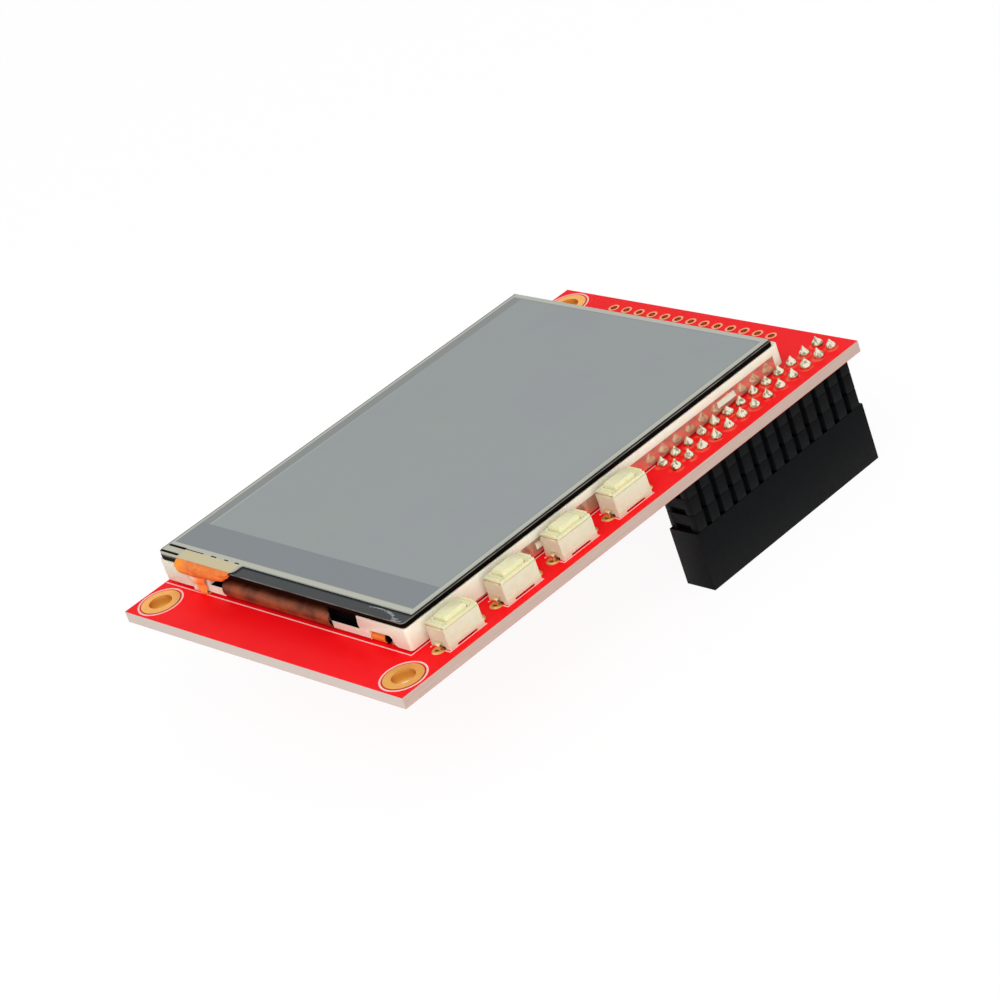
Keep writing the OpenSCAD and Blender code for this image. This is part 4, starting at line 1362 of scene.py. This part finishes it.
@dataclass
class PushButton:
    """One push button: case, cover, cap, dome."""

    number: int
    case_edge_mm: float = 0.09
    cover_edge_mm: float = 0.12
    cap_edge_mm: float = 0.12

    def build(self) -> None:
        """Builds and dresses the button; its cap rides on its own body."""
        n = self.number
        for name, width, finish, slot, body in (
            ("case", self.case_edge_mm, CASE_NYLON, "switch_plastic", MODULE),
            ("cover", self.cover_edge_mm, CAP_NYLON, "cap_plastic", MODULE),
            ("cap", self.cap_edge_mm, CAP_NYLON, "cap_plastic", f"button_{n}")
        ):
            eased(f"switch_{name}_{n}", width, finish, body)
        dress(f"switch_dome_{n}", SPRING_STEEL)


@dataclass
class ButtonJoints:
    """The buttons' leads and solder, with the gold rings they stand in."""

    ring_inner: float = 0.45 * MM
    ring_outer: float = 0.95 * MM
    ring_past: float = 0.5 * MM
    lead_edge_mm: float = 0.07
    seam: float = 0.06 * MM
    seam_down: float = 0.36 * MM
    seam_end: float = 0.12 * MM
    seam_proud: float = 0.01 * MM
    seam_depth: float = 0.02 * MM

    def seam_shadows(self) -> None:
        """Paints the shade in the gap under each cover as a fine dark strip on its near face."""
        bm = bmesh.new()
        for i in range(1, BUTTONS + 1):
            low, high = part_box(f"switch_case_{i}")
            z = high.z - self.seam_down
            left, right = low.x + self.seam_end, high.x - self.seam_end
            near, far = low.y - self.seam_proud, low.y + self.seam_depth
            add_box(bm, (left, near, z), (right, far, z + self.seam))
        piece("cover_seam_shadows", bm, SEAM_SHADOW)

    def build(self) -> None:
        """Dresses the leads and lays a ring of solder round each."""
        self.seam_shadows()
        low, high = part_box("switch_leads")
        top = BOARD_HIGH.z
        x = (low.x + high.x) / 2
        inner, outer = self.ring_inner, self.ring_outer
        profile = [
            (outer, 0), (outer * 0.97, 0.06 * MM), (outer * 0.8, 0.16 * MM), (inner * 1.2, 0.2 * MM),
            (inner, 0.1 * MM), (inner * 0.9, 0.01 * MM)
        ]
        bm = bmesh.new()
        for i in range(1, BUTTONS + 1):
            near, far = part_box(f"switch_case_{i}")
            for y in (near.y - self.ring_past, far.y + self.ring_past):
                add_lathe(bm, (x, y, top), profile, 28)
        piece("lead_rings", bm, RING_GOLD, shade=Shade.SMOOTH)
        eased("switch_leads", self.lead_edge_mm, LEAD_BRASS)
        dress("switch_solder", SOLDER)


# Studio ----------------------------------------------------------------------


@dataclass
class Studio:
    """Floor, world, lamps and camera."""

    azimuth: float = 55.2824
    elevation: float = 27.1548
    roll: float = -19.7032
    distance: float = 467.41 * MM
    aim: tuple[float, float, float] = (3.371 * MM, -2.438 * MM, 0.0)
    lens: float = 129.979
    sensor: float = 36.0
    world_level: float = 0.6
    floor_half: float = 2.0
    floor_drop: float = 0.05 * MM
    floor_glow: float = 0.93
    lamp_size: float = 0.5
    lamps: tuple[tuple[str, Point, float], ...] = (
        ("key", (0.25, -0.35, 0.55), 0.34), ("fill", (0.55, -0.25, 0.2), 0.38)
    )

    def seen(self, tree: Tree) -> Socket:
        """Gives one for rays that come from the camera, a mirror or a glass."""
        rays = add_node(tree, "LightPath").outputs
        most = rays["Is Camera Ray"]
        for kind in ("Is Glossy Ray", "Is Transmission Ray"):
            most = add_node(tree, "Math", {"operation": "MAXIMUM"}, _0=most, _1=rays[kind]).outputs[0]
        return most

    def world(self) -> None:
        """Lights evenly from all round and shows white behind."""
        world = bpy.data.worlds.new("studio")
        bpy.context.scene.world = world
        world.use_nodes = True
        tree = world.node_tree
        tree.nodes.clear()
        light = add_node(tree, "Background", Color=linear(WHITE), Strength=self.world_level)
        white = add_node(tree, "Background", Color=linear(WHITE), Strength=1.0)
        mix = add_node(tree, "MixShader", _0=self.seen(tree), _1=light.outputs[0], _2=white.outputs[0])
        add_node(tree, "OutputWorld", Surface=mix.outputs[0])

    def floor(self) -> None:
        """Lays a pale floor under the socket that keeps the shadow."""
        z = CAD_BOX[0][2] - self.floor_drop
        half = self.floor_half
        bm = bmesh.new()
        corners = [(-half, -half), (half, -half), (half, half), (-half, half)]
        bm.faces.new([bm.verts.new((x, y, z)) for x, y in corners])
        mesh = bpy.data.meshes.new("floor")
        bm.to_mesh(mesh)
        bm.free()
        paper = bpy.data.materials.new("white_paper")
        paper.use_nodes = True
        tree = paper.node_tree
        tree.nodes.clear()
        lit = add_node(tree, "BsdfDiffuse", Color=linear(FLOOR_PAPER))
        soft = add_node(tree, "BsdfDiffuse", Color=linear(SEEN_PAPER))
        glow = add_node(tree, "Emission", Color=linear(WHITE), Strength=self.floor_glow)
        both = add_node(tree, "AddShader", _0=soft.outputs[0], _1=glow.outputs[0])
        mix = add_node(tree, "MixShader", _0=self.seen(tree), _1=lit.outputs[0], _2=both.outputs[0])
        add_node(tree, "OutputMaterial", Surface=mix.outputs[0])
        mesh.materials.append(paper)
        made = bpy.data.objects.new("floor", mesh)
        bpy.context.scene.collection.objects.link(made)

    def lamp(self, name: str, spot: Point, level: float) -> None:
        """Hangs a soft square lamp that looks at the part.

        Args:
            name: name of the lamp.
            spot: where it hangs.
            level: light that a facing white surface gets.
        """
        data = bpy.data.lights.new(name, "AREA")
        data.size = self.lamp_size
        reach = Vector(spot).length
        data.energy = level * math.pi * math.pi * reach**2
        made = bpy.data.objects.new(name, data)
        made.location = spot
        made.rotation_mode = "QUATERNION"
        made.rotation_quaternion = (-Vector(spot)).to_track_quat("-Z", "Y")
        made.visible_glossy = False
        bpy.context.scene.collection.objects.link(made)

    def camera(self) -> None:
        """Sets the camera at the viewing angle."""
        a, e = math.radians(self.azimuth), math.radians(self.elevation)
        back = Vector((math.sin(a) * math.cos(e), -math.cos(a) * math.cos(e), math.sin(e)))
        data = bpy.data.cameras.new("camera")
        data.lens, data.sensor_width = self.lens, self.sensor
        data.clip_start, data.clip_end = 0.01, 10.0
        made = bpy.data.objects.new("camera", data)
        made.location = Vector(self.aim) + back * self.distance
        made.rotation_mode = "QUATERNION"
        made.rotation_quaternion = (-back).to_track_quat("-Z", "Y") @ Quaternion(
            (0, 0, 1), math.radians(self.roll)
        )
        bpy.context.scene.collection.objects.link(made)
        bpy.context.scene.camera = made

    def build(self) -> None:
        """Sets up everything round the part."""
        bpy.context.scene.view_settings.view_transform = "Standard"
        self.camera()
        self.world()
        self.floor()
        for lamp in self.lamps:
            self.lamp(*lamp)


def main() -> None:
    """Builds every sub-assembly in order."""
    logging.basicConfig(level=logging.INFO, format="%(name)s: %(message)s")
    Studio().build()
    parts: Iterable = (
        CircuitBoard(), StackedHeader(), Display(), *(PushButton(i) for i in range(1, BUTTONS + 1)),
        ButtonJoints()
    )
    for part in parts:
        part.build()
        LOG.info("built %s", type(part).__name__)


if __name__ == "__main__":
    main()
